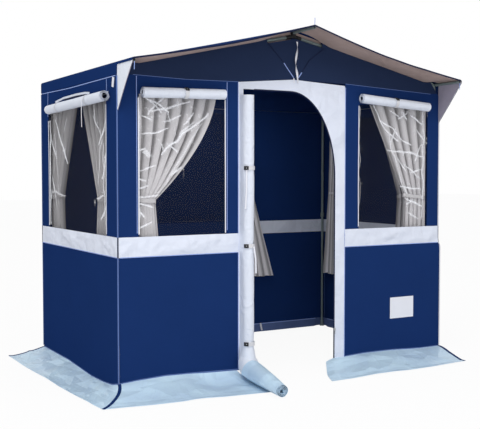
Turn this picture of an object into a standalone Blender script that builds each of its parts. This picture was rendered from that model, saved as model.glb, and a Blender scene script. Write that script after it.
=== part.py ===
"""Kitchen tent: a cabin of coated polyester on a telescopic steel frame.

The ground is z = 0 and the door side faces -Y. The origin is the centre of the
whole footprint, with the skirt and the rolled door's tail that lie on the ground.
Distances along a wall are measured from its left or front corner, and
distances out of a wall from its outer face, with inside the tent negative.
"""

import math

import bmesh
import bpy
from mathutils import Matrix, Vector

for old in list(bpy.data.objects):
    bpy.data.objects.remove(old, do_unlink=True)

# Cabin
WIDTH = 2.50
DEPTH = 1.45
SKIRT_SEAM = 0.060
EAVE_SEAM = 1.907
RIDGE_RISE = 0.358
RIDGE_TOP = EAVE_SEAM + RIDGE_RISE
VISOR = 0.23
WING_BOTTOM = EAVE_SEAM - 0.213
ROOF_REAR_LAP = 0.008
FLAP_LAP = 0.028
SAG_LEFT = 0.015
SAG_RIGHT = 0.040
CORNER_DROP = 0.022
CORNER_RUN = 0.095
VENT_HALF = 0.215

# Cloth thickness, window film and the clearance between pieces that touch
CLOTH = 0.002
FILM = 0.0008
FIT = 0.0004

# Footprint of the skirt on the ground, out of each wall, and of the door's tail
SKIRT_LEFT = 0.265
SKIRT_RIGHT = 0.050
SKIRT_REAR = 0.300
REAR_FOLD = (0.365, 0.040)
SKIRT_FRONT = 0.320
TAIL_REACH = 0.560

# Steel tubes
TUBE_R = 0.011
TUBE_WALL = 0.0008
SLIDE_FIT = 0.0005
LEG_INSET = 0.0244
BEND_R = 0.050
LEG_SPLIT = 0.95
LEG_TOP = EAVE_SEAM - 0.067
LEG_OVERLAP = 0.12
SPIGOT = 0.060
EAVE_AXIS_Z = EAVE_SEAM + 0.062
ARM_OVERLAP = 0.20
RAFTER_END = 0.012
JOINT_WALL = 0.0025
JOINT_REACH = 0.055
JOINT_WEB = 0.003
FOOT_R = 0.020
FOOT_H = 0.006
BOOT_R = 0.0135
BOOT_H = 0.045
CLAMP_R = 0.015
CLAMP_H = 0.035
KNOB_R = 0.007
KNOB_LENGTH = 0.020

# White band round the waist
BAND_BOTTOM = 0.822
BAND_TOP = 0.943

# Windows, as distances along their wall
WINDOW_TOP = EAVE_SEAM - 0.107
SIDE_WINDOW_TOP = WINDOW_TOP - 0.035
FRONT_LEFT_WINDOW = (0.130, 0.730)
FRONT_RIGHT_WINDOW = (WIDTH - 0.723, WIDTH - 0.104)
SIDE_WINDOW = (0.180, DEPTH - 0.150)
REAR_WINDOW = (0.600, WIDTH - 0.740)
FILM_LAP = 0.012
COVER_LAP = 0.030
COVER_BOTTOM = BAND_TOP + 0.012
COVER_TOP = WINDOW_TOP + 0.060

# Door and its white surround
SURROUND_LEFT = 0.820
SURROUND_RIGHT = 1.658
SURROUND_TOPS = (EAVE_SEAM - 0.003, EAVE_SEAM + 0.033, EAVE_SEAM + 0.012)
DOOR_LEFT = 0.857
DOOR_RIGHT = 1.574
DOOR_TOP = EAVE_SEAM - 0.045
ARCH_START = 1.212
ARCH_SPRING = DOOR_TOP - 0.562
ARCH_STEPS = 10

# Slider of the door's zip
ZIP_IN = 0.004
SLIDER_LOW = 0.250
SLIDER_WIDTH = 0.013
SLIDER_LENGTH = 0.022
SLIDER_THICK = 0.005
PULL_THICK = 0.0012

# Rolled window covers
ROLL_R = 0.0325
ROLL_OUT = 0.040
ROLL_TURNS = 2.25
ROLL_PITCH = 0.0055
ROLL_CLOTH = 0.003
ROLL_FLAP = 0.020
ROLL_HEM = 0.012

# Rolled door
DOOR_ROLL_R = 0.040
DOOR_ROLL_TURNS = 2.25
DOOR_ROLL_PITCH = 0.0065
DOOR_ROLL_CLOTH = 0.004
DOOR_ROLL_OUT = 0.046
DOOR_ROLL_TOP = DOOR_TOP - 0.042
DOOR_ROLL_SIDE = 0.008
DOOR_ROLL_KNEE = 0.140
KNEE_R = 0.075
KNEE_TURN = math.radians(72)
KNEE_STEPS = 4
KNEE_END_R = 0.055
TAIL_R = 0.032
TAIL_SIDE = -0.070
TAIL_FLAP = 0.006

# Webbing straps and their side-release buckles
STRAP_WIDTH = 0.025
STRAP_CLOTH = 0.0016
DOOR_STRAPS = (1.359, 0.865, 0.239)
DOOR_STRAP_STEPS = (1, 13)
COVER_STRAP_STEPS = (1, 11)
BUCKLE_WIDTH = 0.024
BUCKLE_THICK = 0.007
SOCKET_LENGTH = 0.022
PRONG_LENGTH = 0.014
PRONG_WIDTH = 0.0045
PLUG_BASE = 0.009
SLOT_WIDTH = 0.016

# Curtains and their wire
WIRE_R = 0.0015
WIRE_IN = 0.035
WIRE_Z = WINDOW_TOP + 0.045
WIRE_END = 0.020
CURTAIN_TIE = 1.16
CURTAIN_BOTTOM = 0.47
CURTAIN_STEPS = (0.67, 0.40, 0.17)
CURTAIN_LOWER_STEPS = (0.07, 0.50)
CURTAIN_FOLDS = 5
FOLD_DEPTH = 0.010
TIE_FOLD_DEPTH = 0.016

# Each curtain: wall, window, whether its still edge is the window's far one, how far that edge
# lies past the window's edge, width at the top, the tie and the bottom as shares of the window,
# how far the still edge flares out at the bottom, and how full the drape is above the tie
CURTAINS = {
    "front_left": ("front", FRONT_LEFT_WINDOW, False, -0.020, 0.88, 0.175, 0.27, 0.0, 1.75),
    "front_right": ("front", FRONT_RIGHT_WINDOW, True, 0.004, 0.86, 0.31, 0.34, 0.0, 1.0),
    "left_front": ("left", SIDE_WINDOW, False, -0.020, 0.45, 0.185, 0.25, 0.0, 1.0),
    "left_rear": ("left", SIDE_WINDOW, True, 0.043, 0.50, 0.21, 0.27, 0.0, 1.0),
    "right_front": ("right", SIDE_WINDOW, False, -0.020, 0.45, 0.185, 0.25, 0.0, 1.0),
    "right_rear": ("right", SIDE_WINDOW, True, 0.006, 0.50, 0.18, 0.25, 0.070, 1.0),
    "rear_left": ("rear", REAR_WINDOW, False, 0.010, 0.43, 0.12, 0.24, 0.150, 1.0),
    "rear_right": ("rear", REAR_WINDOW, True, 0.010, 0.43, 0.12, 0.27, 0.200, 1.0),
}

# Each rolled cover: wall, window, how far it runs past the window's near and far edge, how high
# its axis stands over the window's top at both ends, and its buckle's place as a share
ROLLS = {
    "front_left": ("front", FRONT_LEFT_WINDOW, WINDOW_TOP, -0.015, -0.031, 0.007, 0.017, 0.509),
    "front_right": ("front", FRONT_RIGHT_WINDOW, WINDOW_TOP, 0.005, -0.030, 0.038, 0.0, 0.488),
    "left": ("left", SIDE_WINDOW, SIDE_WINDOW_TOP, 0.073, -0.125, 0.024, 0.006, None),
}

# Where the walls stand, so that the footprint is centred on the origin
LEFT = (SKIRT_LEFT - SKIRT_RIGHT - WIDTH) / 2
RIGHT = LEFT + WIDTH
FRONT = (TAIL_REACH - SKIRT_REAR - DEPTH) / 2
REAR = FRONT + DEPTH
MIDDLE = LEFT + WIDTH / 2

# Sizes that follow from those above
TUBE_BORE = TUBE_R - TUBE_WALL
SLIDER_R = TUBE_BORE - SLIDE_FIT
SLIDER_BORE = SLIDER_R - TUBE_WALL
EAVE_AXIS_IN = SLIDER_R + FIT + CLOTH
ROOF_EDGE_R = SLIDER_R + 2 * FIT + 2 * CLOTH
EAVE_CLEARANCE = BEND_R + 2 * TUBE_R + FIT
EAVE_ANGLE = math.acos((LEG_INSET + BEND_R - EAVE_AXIS_IN) / EAVE_CLEARANCE)
BEND_START = EAVE_AXIS_Z - EAVE_CLEARANCE * math.sin(EAVE_ANGLE)
SLEEVE_R = TUBE_R + FIT + JOINT_WALL
CURTAIN_TOP = WIRE_Z - WIRE_R - FIT
SURROUND_MIDDLE = (SURROUND_LEFT + SURROUND_RIGHT) / 2

TUBE_SIDES = 12
BEND_STEPS = 5
ROLL_STEPS_PER_TURN = 16
ROLL_STEP = 2 * math.pi / ROLL_STEPS_PER_TURN


def tangent_slope(centre, radius, apex):
    """Angle of the line through apex that passes over a circle and touches it."""
    dx, dz = apex[0] - centre[0], apex[1] - centre[1]
    return math.atan2(dz, dx) - math.asin(radius / math.hypot(dx, dz))


ROOF_SLOPE = tangent_slope((EAVE_AXIS_IN, EAVE_AXIS_Z), ROOF_EDGE_R, (WIDTH / 2, RIDGE_TOP))
RIDGE_AXIS_Z = RIDGE_TOP - (2 * CLOTH + FIT + SLIDER_R) / math.cos(ROOF_SLOPE) - FIT
RAFTER_PEAK = RIDGE_AXIS_Z - 2 * TUBE_R - JOINT_WEB
RAFTER_SLOPE = tangent_slope((LEG_INSET + BEND_R, BEND_START), BEND_R, (WIDTH / 2, RAFTER_PEAK))


def material(name, hex_colour, roughness, metallic=0.0, alpha=1.0):
    """Principled material from an sRGB hex colour."""
    made = bpy.data.materials.new(name)
    made.use_nodes = True
    shader = made.node_tree.nodes["Principled BSDF"]
    channels = [int(hex_colour[i : i + 2], 16) / 255 for i in (0, 2, 4)]
    linear = [c / 12.92 if c <= 0.04045 else ((c + 0.055) / 1.055) ** 2.4 for c in channels]
    shader.inputs["Base Color"].default_value = (*linear, 1.0)
    shader.inputs["Roughness"].default_value = roughness
    shader.inputs["Metallic"].default_value = metallic
    shader.inputs["Alpha"].default_value = alpha
    made.diffuse_color = (*linear, alpha)
    return made


NAVY = material("navy coated polyester", "1A3062", 0.55)
WHITE = material("white coated polyester", "E2E4EE", 0.5)
LINING = material("pale visor lining", "B9B4B6", 0.6)
SKIRT_BLUE = material("light blue PVC", "B6CDE8", 0.45)
CLEAR = material("clear PVC film", "C8CCD6", 0.1, 0.0, 0.3)
CURTAIN = material("pale grey curtain cloth", "C8C4CC", 0.8)
STEEL = material("powder coated steel", "7C8A8A", 0.4, 0.6)
ZINC = material("zinc plated steel", "B4B8BC", 0.3, 1.0)
BLACK = material("black moulded plastic", "17181B", 0.45)
WEBBING = material("white webbing", "E6E7EC", 0.7)


def finish(name, mesh, stuff, pivot=None, smooth=False):
    """Object of a mesh or bmesh, faces outwards, its origin moved to pivot."""
    if isinstance(mesh, bmesh.types.BMesh):
        bmesh.ops.recalc_face_normals(mesh, faces=mesh.faces)
        if mesh.calc_volume(signed=True) < 0:
            bmesh.ops.reverse_faces(mesh, faces=mesh.faces)
        data = bpy.data.meshes.new(name)
        mesh.to_mesh(data)
        mesh.free()
        mesh = data
    made = bpy.data.objects.new(name, mesh)
    bpy.context.scene.collection.objects.link(made)
    mesh.materials.append(stuff)
    if smooth:
        mesh.shade_smooth()
        mesh.set_sharp_from_angle(angle=math.radians(35))
    if pivot is not None:
        mesh.transform(Matrix.Translation(-Vector(pivot)))
        made.location = pivot
    return made


def hide_tool(tool):
    """Marks an object as a cutter or a piece that is joined to another."""
    tool.hide_render = True
    tool.display_type = "WIRE"


def combine(target, tool, operation):
    """Boolean of the target with a tool object, which is then hidden."""
    step = target.modifiers.new(tool.name, "BOOLEAN")
    step.operation = operation
    step.solver = "EXACT"
    step.object = tool
    hide_tool(tool)


def at(side, along, out, z):
    """Point on a wall: distance along it, distance out of its outer face, and height."""
    if side == "front":
        return Vector((LEFT + along, FRONT - out, z))
    if side == "rear":
        return Vector((LEFT + along, REAR + out, z))
    if side == "left":
        return Vector((LEFT - out, FRONT + along, z))
    return Vector((RIGHT + out, FRONT + along, z))


def prism(rings):
    """Closed bmesh through rings of equal length, with flat ends."""
    mesh = bmesh.new()
    loops = [[mesh.verts.new(point) for point in ring] for ring in rings]
    count = len(loops[0])
    for low, high in zip(loops, loops[1:]):
        for i in range(count):
            j = (i + 1) % count
            mesh.faces.new((low[i], low[j], high[j], high[i]))
    mesh.faces.new(loops[0])
    mesh.faces.new(loops[-1])
    return mesh


def panel(name, side, outline, inner, outer, stuff, holes=(), pivot=None):
    """Flat piece on a wall: an outline of (along, height), less rectangular holes."""
    rings = [[at(side, a, out, z) for a, z in outline] for out in (inner, outer)]
    made = finish(name, prism(rings), stuff, pivot)
    for number, (start, end, bottom, top) in enumerate(holes):
        box = rectangle(start, end, bottom, top)
        margin = 10 * CLOTH
        rings = [[at(side, a, out, z) for a, z in box] for out in (inner - margin, outer + margin)]
        combine(made, finish(f"{name}_opening_{number}", prism(rings), stuff), "DIFFERENCE")
    return made


def rectangle(start, end, bottom, top):
    return [(start, bottom), (end, bottom), (end, top), (start, top)]


def sheet(name, face, back, stuff, pivot=None):
    """Closed cloth between two grids of points, each a list of equal rows."""
    mesh = bmesh.new()
    front, rear = [[[mesh.verts.new(p) for p in row] for row in grid] for grid in (face, back)]
    rows, columns = len(face), len(face[0])
    for r in range(rows - 1):
        for c in range(columns - 1):
            mesh.faces.new((front[r][c], front[r][c + 1], front[r + 1][c + 1], front[r + 1][c]))
            mesh.faces.new((rear[r][c], rear[r + 1][c], rear[r + 1][c + 1], rear[r][c + 1]))
    rim = [(0, c) for c in range(columns)]
    rim += [(r, columns - 1) for r in range(1, rows)]
    rim += [(rows - 1, c) for c in range(columns - 2, -1, -1)]
    rim += [(r, 0) for r in range(rows - 2, 0, -1)]
    for (r, c), (s, d) in zip(rim, rim[1:] + rim[:1]):
        mesh.faces.new((front[r][c], rear[r][c], rear[s][d], front[s][d]))
    return finish(name, mesh, stuff, pivot, smooth=True)


def circle(centre, across, up, radius, sides):
    """Points round a centre in the plane of two unit vectors."""
    turns = [2 * math.pi * i / sides for i in range(sides)]
    return [centre + across * (radius * math.cos(t)) + up * (radius * math.sin(t)) for t in turns]


def tube(name, path, radii, bore, stuff, pivot=None, sides=TUBE_SIDES):
    """Round tube along a flat or straight path, open at both ends."""
    path = [Vector(point) for point in path]
    steps = [(b - a).normalized() for a, b in zip(path, path[1:])]
    plane = Vector((0, 0, 1))
    for a, b in zip(steps, steps[1:]):
        if a.cross(b).length > 1e-4:
            plane = a.cross(b).normalized()
    if abs(steps[0].dot(plane)) > 0.9:
        plane = Vector((1, 0, 0))
    outer, inner = [], []
    for i, point in enumerate(path):
        heading = (steps[max(i - 1, 0)] + steps[min(i, len(steps) - 1)]).normalized()
        across = plane.cross(heading).normalized()
        up = heading.cross(across)
        outer.append(circle(point, across, up, radii[i], sides))
        inner.append(circle(point, across, up, bore, sides))
    mesh = bmesh.new()
    rings = outer + inner[::-1]
    loops = [[mesh.verts.new(point) for point in ring] for ring in rings]
    for low, high in zip(loops, loops[1:] + loops[:1]):
        for i in range(sides):
            j = (i + 1) % sides
            mesh.faces.new((low[i], low[j], high[j], high[i]))
    return finish(name, mesh, stuff, pivot, smooth=True)


def rod(name, start, end, radius, stuff, pivot=None, sides=TUBE_SIDES):
    """Solid round bar between two points."""
    start, end = Vector(start), Vector(end)
    heading = (end - start).normalized()
    across = heading.orthogonal().normalized()
    up = heading.cross(across)
    rings = [circle(point, across, up, radius, sides) for point in (start, end)]
    return finish(name, prism(rings), stuff, pivot, smooth=True)


def turned(name, profile, centre, stuff, pivot=None, sides=TUBE_SIDES):
    """Solid of revolution about an upright axis; the profile starts and ends on it."""
    mesh = bmesh.new()
    centre = Vector(centre)
    across, up = Vector((1, 0, 0)), Vector((0, 1, 0))
    loops = []
    for radius, height in profile:
        middle = centre + Vector((0, 0, height))
        points = circle(middle, across, up, radius, sides) if radius > 0 else [middle]
        loops.append([mesh.verts.new(point) for point in points])
    for low, high in zip(loops, loops[1:]):
        for i in range(sides):
            j = (i + 1) % sides
            corners = [low[i % len(low)], low[j % len(low)], high[j % len(high)], high[i % len(high)]]
            mesh.faces.new(list(dict.fromkeys(corners)))
    return finish(name, mesh, stuff, pivot, smooth=True)


def box(name, low, high, stuff):
    """Box between two corners."""
    base = [(low[0], low[1]), (high[0], low[1]), (high[0], high[1]), (low[0], high[1])]
    rings = [[Vector((x, y, z)) for x, y in base] for z in (low[2], high[2])]
    return finish(name, prism(rings), stuff)


# Roof, visor and wings


def roof_section(depth, edge_points):
    """Half section of the roof at a depth under its outer face, from the edge to the ridge."""
    radius = ROOF_EDGE_R - depth
    turn = math.pi / 2 - ROOF_SLOPE
    points = []
    for i in range(edge_points + 1):
        angle = math.pi - turn * i / edge_points
        height = EAVE_AXIS_Z + radius * math.sin(angle)
        points.append((EAVE_AXIS_IN + radius * math.cos(angle), height, 0.0))
    start = points[-1]
    peak = RIDGE_TOP - depth / math.cos(ROOF_SLOPE)
    steps = 6
    for i in range(1, steps + 1):
        share = i / steps
        run = start[0] + (WIDTH / 2 - start[0]) * share
        points.append((run, start[1] + (peak - start[1]) * share, math.sin(math.pi * share)))
    return points


def roof_height(along, depth):
    """Height of the roof at a depth under its outer face, off the rounded edges."""
    run = min(along, WIDTH - along)
    return RIDGE_TOP - depth / math.cos(ROOF_SLOPE) - (WIDTH / 2 - run) * math.tan(ROOF_SLOPE)


def roof_row(y, depth, hems):
    """One row of roof points across the tent, with the turned-down edges to the hem heights."""
    reach = max(FRONT - y, 0.0) / VISOR
    half = roof_section(depth, 4)
    row = [Vector((LEFT + half[0][0], y, hem)) for hem in hems]
    for run, height, sag in half:
        row.append(Vector((LEFT + run, y, height - SAG_LEFT * reach**2 * sag)))
    for run, height, sag in half[-2::-1]:
        row.append(Vector((RIGHT - run, y, height - SAG_RIGHT * reach**2 * sag)))
    row += [Vector((RIGHT - half[0][0], y, hem)) for hem in reversed(hems)]
    return row


def make_roof():
    """Navy roof sheet, which runs forward over the visor and turns down at the eaves."""
    short = [EAVE_AXIS_Z - 2 * CLOTH]
    stations = [(FRONT - VISOR, short), (FRONT - VISOR / 2, short), (FRONT - 2 * CLOTH, short)]
    stations += [(FRONT, [EAVE_SEAM]), (REAR + ROOF_REAR_LAP, [EAVE_SEAM])]
    grids = [[roof_row(y, depth, hems) for y, hems in stations] for depth in (0.0, CLOTH)]
    sheet("roof_panel", grids[0], grids[1], NAVY)


def make_visor_lining():
    """Pale cloth under the visor, with a hanging triangular wing at each end."""
    back = FRONT - FIT
    tip = EAVE_AXIS_Z - 2 * CLOTH
    stations = []
    for share in (0.0, 0.5, 1.0):
        low = tip + (WING_BOTTOM - tip) * share
        y = FRONT - VISOR + (back - FRONT + VISOR) * share
        stations.append((y, [low, (low + EAVE_AXIS_Z) / 2]))
    grids = []
    for depth in (CLOTH + FIT, 2 * CLOTH + FIT):
        grids.append([roof_row(y, depth, hems) for y, hems in stations])
    sheet("visor_lining", grids[0], grids[1], LINING)


# Walls and what is sewn to them


def gable_outline(corner_low, corner_run, peak_cut):
    """Wall with a gable: chamfered top corners and, if asked, a vent under the ridge."""
    side = CLOTH + FIT
    under = CLOTH + CLOTH
    points = [(side, SKIRT_SEAM), (WIDTH - side, SKIRT_SEAM), (WIDTH - side, corner_low)]
    points.append((WIDTH - corner_run, roof_height(corner_run, under)))
    if peak_cut > 0:
        drop = RAFTER_PEAK - SLEEVE_R - 2 * CLOTH
        low = drop - peak_cut * math.tan(RAFTER_SLOPE)
        points.append((WIDTH / 2 + peak_cut, roof_height(WIDTH / 2 + peak_cut, under)))
        points.append((WIDTH / 2 + peak_cut, low))
        points.append((WIDTH / 2, drop))
        points.append((WIDTH / 2 - peak_cut, low))
        points.append((WIDTH / 2 - peak_cut, roof_height(WIDTH / 2 - peak_cut, under)))
    else:
        points.append((WIDTH / 2, roof_height(WIDTH / 2, under)))
    points.append((corner_run, roof_height(corner_run, under)))
    points.append((side, corner_low))
    return points


def surround_top(along):
    """Height of the surround's upper edge, which rises to the middle of the door."""
    left, middle, right = SURROUND_TOPS
    share = (along - SURROUND_MIDDLE) / (SURROUND_RIGHT - SURROUND_MIDDLE)
    return middle + ((left - middle) * -share if share < 0 else (right - middle) * share)


def window_hole(span, top=WINDOW_TOP):
    return (span[0], span[1], BAND_TOP, top)


def make_walls():
    """Navy walls: the two gabled ones stand between the side ones."""
    holes = [window_hole(FRONT_LEFT_WINDOW), window_hole(FRONT_RIGHT_WINDOW)]
    outline = gable_outline(EAVE_SEAM - CORNER_DROP, CORNER_RUN, VENT_HALF)
    front = panel("front_wall", "front", outline, -CLOTH, 0.0, NAVY, holes)
    left, right = SURROUND_LEFT - FIT, SURROUND_RIGHT + FIT
    gap = [(left, 0.0), (right, 0.0)]
    gap += [(along, surround_top(along) + FIT) for along in (right, SURROUND_MIDDLE, left)]
    rings = [[at("front", a, out, z) for a, z in gap] for out in (-5 * CLOTH, 5 * CLOTH)]
    combine(front, finish("front_wall_door_gap", prism(rings), NAVY), "DIFFERENCE")

    corner = EAVE_AXIS_Z - CLOTH
    outline = gable_outline(corner, EAVE_AXIS_IN + 2 * CLOTH, 0.0)
    panel("rear_wall", "rear", outline, -CLOTH, 0.0, NAVY, [window_hole(REAR_WINDOW)])
    for side in ("left", "right"):
        outline = rectangle(0.0, DEPTH, SKIRT_SEAM, EAVE_SEAM + FLAP_LAP)
        hole = window_hole(SIDE_WINDOW, SIDE_WINDOW_TOP)
        panel(f"{side}_wall", side, outline, -CLOTH, 0.0, NAVY, [hole])


def make_door_surround():
    """White frame of the door: square at the upper left, arched at the upper right."""
    outline = [(SURROUND_LEFT, SKIRT_SEAM), (DOOR_LEFT, SKIRT_SEAM), (DOOR_LEFT, DOOR_TOP)]
    outline.append((ARCH_START, DOOR_TOP))
    for i in range(1, ARCH_STEPS + 1):
        angle = math.pi / 2 * (1 - i / ARCH_STEPS)
        along = ARCH_START + (DOOR_RIGHT - ARCH_START) * math.cos(angle)
        outline.append((along, ARCH_SPRING + (DOOR_TOP - ARCH_SPRING) * math.sin(angle)))
    outline.append((DOOR_RIGHT, SKIRT_SEAM))
    outline.append((SURROUND_RIGHT, SKIRT_SEAM))
    for along in (SURROUND_RIGHT, SURROUND_MIDDLE, SURROUND_LEFT):
        outline.append((along, surround_top(along)))
    panel("door_surround", "front", outline, -CLOTH, 0.0, WHITE)


def make_waist_band():
    """White band sewn round the outside from one side of the door to the other."""
    grids = []
    for out in (FIT + CLOTH, FIT):
        corners = [at("front", SURROUND_LEFT - FIT, out, 0)]
        corners.append(Vector((LEFT - out, FRONT - out, 0)))
        corners.append(Vector((LEFT - out, REAR + out, 0)))
        corners.append(Vector((RIGHT + out, REAR + out, 0)))
        corners.append(Vector((RIGHT + out, FRONT - out, 0)))
        corners.append(at("front", SURROUND_RIGHT + FIT, out, 0))
        grids.append([[c + Vector((0, 0, z)) for c in corners] for z in (BAND_BOTTOM, BAND_TOP)])
    sheet("waist_band", grids[0], grids[1], WHITE)


def make_windows():
    """Clear films behind the window openings."""
    windows = {
        "front_left": ("front", FRONT_LEFT_WINDOW),
        "front_right": ("front", FRONT_RIGHT_WINDOW),
        "left": ("left", SIDE_WINDOW),
        "right": ("right", SIDE_WINDOW),
        "rear": ("rear", REAR_WINDOW),
    }
    inner = -CLOTH - FIT
    low = BAND_TOP - FILM_LAP
    for name, (side, span) in windows.items():
        top = SIDE_WINDOW_TOP if span == SIDE_WINDOW else WINDOW_TOP
        outline = rectangle(span[0] - FILM_LAP, span[1] + FILM_LAP, low, top + FILM_LAP)
        panel(f"window_film_{name}", side, outline, inner - FILM, inner, CLEAR)


def make_closed_covers():
    """Navy covers that hang closed over the right and rear windows, hinged on their top seam."""
    for side, span in (("right", SIDE_WINDOW), ("rear", REAR_WINDOW)):
        outline = rectangle(span[0] - COVER_LAP, span[1] + COVER_LAP, COVER_BOTTOM, COVER_TOP)
        pivot = at(side, (span[0] + span[1]) / 2, FIT, COVER_TOP)
        panel(f"window_cover_{side}", side, outline, FIT, FIT + CLOTH, NAVY, (), pivot)


# Rolled covers, the rolled door, and the straps that hold them


def roll_radius(radius, pitch, step):
    """Outer radius of a roll a number of steps back from its outer end."""
    return radius - pitch * step / ROLL_STEPS_PER_TURN


def spiral(radius, turns, pitch, cloth, tail):
    """Section of a roll as a closed outline; it ends at the left and runs on down by the tail."""
    outer, inner = [], []
    for step in range(round(turns * ROLL_STEPS_PER_TURN), -1, -1):
        angle = math.pi - step * ROLL_STEP
        r = roll_radius(radius, pitch, step)
        outer.append((r * math.cos(angle), r * math.sin(angle)))
        inner.append(((r - cloth) * math.cos(angle), (r - cloth) * math.sin(angle)))
    for across, down in tail:
        outer.append((-radius + across, -down))
        inner.append((-radius + across + cloth, -down))
    return outer + inner[::-1]


def strap(name, centre, right, up, forward, radius, pitch, start, end):
    """Webbing round a roll between two of the roll's steps, flat along the roll."""
    grids = []
    for lift in (FIT + STRAP_CLOTH, FIT):
        rows = []
        for shift in (-STRAP_WIDTH / 2, STRAP_WIDTH / 2):
            row = []
            for step in range(start, end + 1):
                angle = math.pi - step * ROLL_STEP
                r = roll_radius(radius, pitch, step) + lift
                around = right * (r * math.cos(angle)) + up * (r * math.sin(angle))
                row.append(centre + around + forward * shift)
            rows.append(row)
        grids.append(rows)
    return sheet(name, grids[0], grids[1], WEBBING)


def buckle(strap_piece, plug_name, centre, right, up, forward, radius, pitch, step, turn):
    """Side-release buckle on a roll: its socket joins the strap, its plug is a piece of its own.

    It lies flat on the roll's face between step and the next one. turn is +1 where the plug
    lies at a larger angle than the socket, otherwise -1.
    """
    angle = math.pi - (step + 0.5) * ROLL_STEP
    face = roll_radius(radius, pitch, step + 0.5) * math.cos(ROLL_STEP / 2)
    normal = right * math.cos(angle) + up * math.sin(angle)
    tangent = (up * math.cos(angle) - right * math.sin(angle)) * turn
    seat = centre + normal * (face + FIT + STRAP_CLOTH / 2)

    def shape(outline, low, high):
        rings = []
        for height in (low, high):
            rings.append([seat + tangent * t + forward * s + normal * height for t, s in outline])
        return prism(rings)

    half, slot = BUCKLE_WIDTH / 2, SLOT_WIDTH / 2
    wall = SOCKET_LENGTH - PRONG_LENGTH - 2 * FIT
    socket = [(0, half), (-SOCKET_LENGTH, half), (-SOCKET_LENGTH, -half), (0, -half)]
    socket += [(0, -slot), (wall - SOCKET_LENGTH, -slot), (wall - SOCKET_LENGTH, slot), (0, slot)]
    body = finish(f"{strap_piece.name}_socket", shape(socket, 0, BUCKLE_THICK), BLACK)
    combine(strap_piece, body, "UNION")

    base = FIT + PLUG_BASE
    edge = slot - FIT
    inner = edge - PRONG_WIDTH
    plug = [(FIT, half), (FIT, edge), (-PRONG_LENGTH, edge), (-PRONG_LENGTH, inner), (FIT, inner)]
    plug += [(FIT, -inner), (-PRONG_LENGTH, -inner), (-PRONG_LENGTH, -edge), (FIT, -edge), (FIT, -half)]
    plug += [(base, -half), (base, half)]
    low = STRAP_CLOTH / 2 + FIT
    finish(plug_name, shape(plug, low, BUCKLE_THICK - low), BLACK, seat)


def make_cover_roll(label, side, window, top, before, after, rise, end_rise, buckle_share):
    """Window cover rolled up under its top seam, the roll's axis slightly out of level."""
    name = f"window_cover_roll_{label}"
    start, end = window[0] - before, window[1] + after
    start_z, end_z = top + rise, top + end_rise
    tail = [(ROLL_R - ROLL_OUT + FIT, ROLL_FLAP)]
    tail.append((ROLL_R - ROLL_OUT + FIT, ROLL_FLAP + ROLL_HEM))
    section = spiral(ROLL_R, ROLL_TURNS, ROLL_PITCH, ROLL_CLOTH, tail)
    rings = []
    for along, height in ((start, start_z), (end, end_z)):
        rings.append([at(side, along, ROLL_OUT + out, height - down) for out, down in section])
    seam = ROLL_FLAP + ROLL_HEM
    pivot = at(side, (start + end) / 2, FIT, (start_z + end_z) / 2 + seam)
    finish(name, prism(rings), WHITE, pivot, smooth=True)
    if buckle_share is None:
        return
    height = start_z + (end_z - start_z) * buckle_share
    centre = at(side, start + (end - start) * buckle_share, ROLL_OUT, height)
    out = at(side, 0, 1, 0) - at(side, 0, 0, 0)
    down = Vector((0, 0, -1))
    forward = (at(side, end, 0, end_z) - at(side, start, 0, start_z)).normalized()
    size = (ROLL_R, ROLL_PITCH)
    band = strap(f"cover_strap_{label}", centre, out, down, forward, *size, *COVER_STRAP_STEPS)
    step = COVER_STRAP_STEPS[1] - 1
    buckle(band, f"cover_buckle_plug_{label}", centre, out, down, forward, *size, step, -1)


def door_roll_path():
    """Along, out, height and radius down the rolled door: the jamb, the knee, the ground."""
    along = SURROUND_LEFT + DOOR_ROLL_R + DOOR_ROLL_SIDE
    path = [(along, DOOR_ROLL_OUT, DOOR_ROLL_TOP, DOOR_ROLL_R)]
    for i in range(KNEE_STEPS + 1):
        share = i / KNEE_STEPS
        angle = KNEE_TURN * share
        out = DOOR_ROLL_OUT + KNEE_R * (1 - math.cos(angle))
        radius = DOOR_ROLL_R + (KNEE_END_R - DOOR_ROLL_R) * share
        path.append((along, out, DOOR_ROLL_KNEE - KNEE_R * math.sin(angle), radius))
    path.append((along + TAIL_SIDE, TAIL_REACH, TAIL_R + 2 * FIT, TAIL_R))
    return path


def make_door_roll():
    """Door rolled up against its left jamb, its skirt trailing out on the ground."""
    path = door_roll_path()
    points = [at("front", along, out, z) for along, out, z, _ in path]
    down, out, right = Vector((0, 0, -1)), Vector((0, -1, 0)), Vector((1, 0, 0))
    headings = [down, down]
    headings += [(b - a).normalized() for a, b in zip(points[1:], points[3:])]
    headings.append(out)
    rings = []
    for i, (point, heading, radius) in enumerate(zip(points, headings, [row[3] for row in path])):
        side = (right - heading * right.dot(heading)).normalized()
        face = heading.cross(side)
        flap = DOOR_ROLL_OUT - FIT if i <= 1 else TAIL_FLAP
        scale = radius / DOOR_ROLL_R
        pitch, cloth = DOOR_ROLL_PITCH * scale, DOOR_ROLL_CLOTH * scale
        section = spiral(radius, DOOR_ROLL_TURNS, pitch, cloth, [(0, flap)])
        rings.append([point + side * a + face * n for a, n in section])
    pivot = at("front", path[0][0] - DOOR_ROLL_R, FIT, DOOR_ROLL_TOP)
    finish("door_roll", prism(rings), WHITE, pivot, smooth=True)

    size = (DOOR_ROLL_R, DOOR_ROLL_PITCH)
    for label, height in zip(("top", "middle", "bottom"), DOOR_STRAPS):
        centre = at("front", path[0][0], DOOR_ROLL_OUT, height)
        band = strap(f"door_strap_{label}", centre, right, out, -down, *size, *DOOR_STRAP_STEPS)
        step = DOOR_STRAP_STEPS[0]
        buckle(band, f"door_buckle_plug_{label}", centre, right, out, -down, *size, step, 1)


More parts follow.
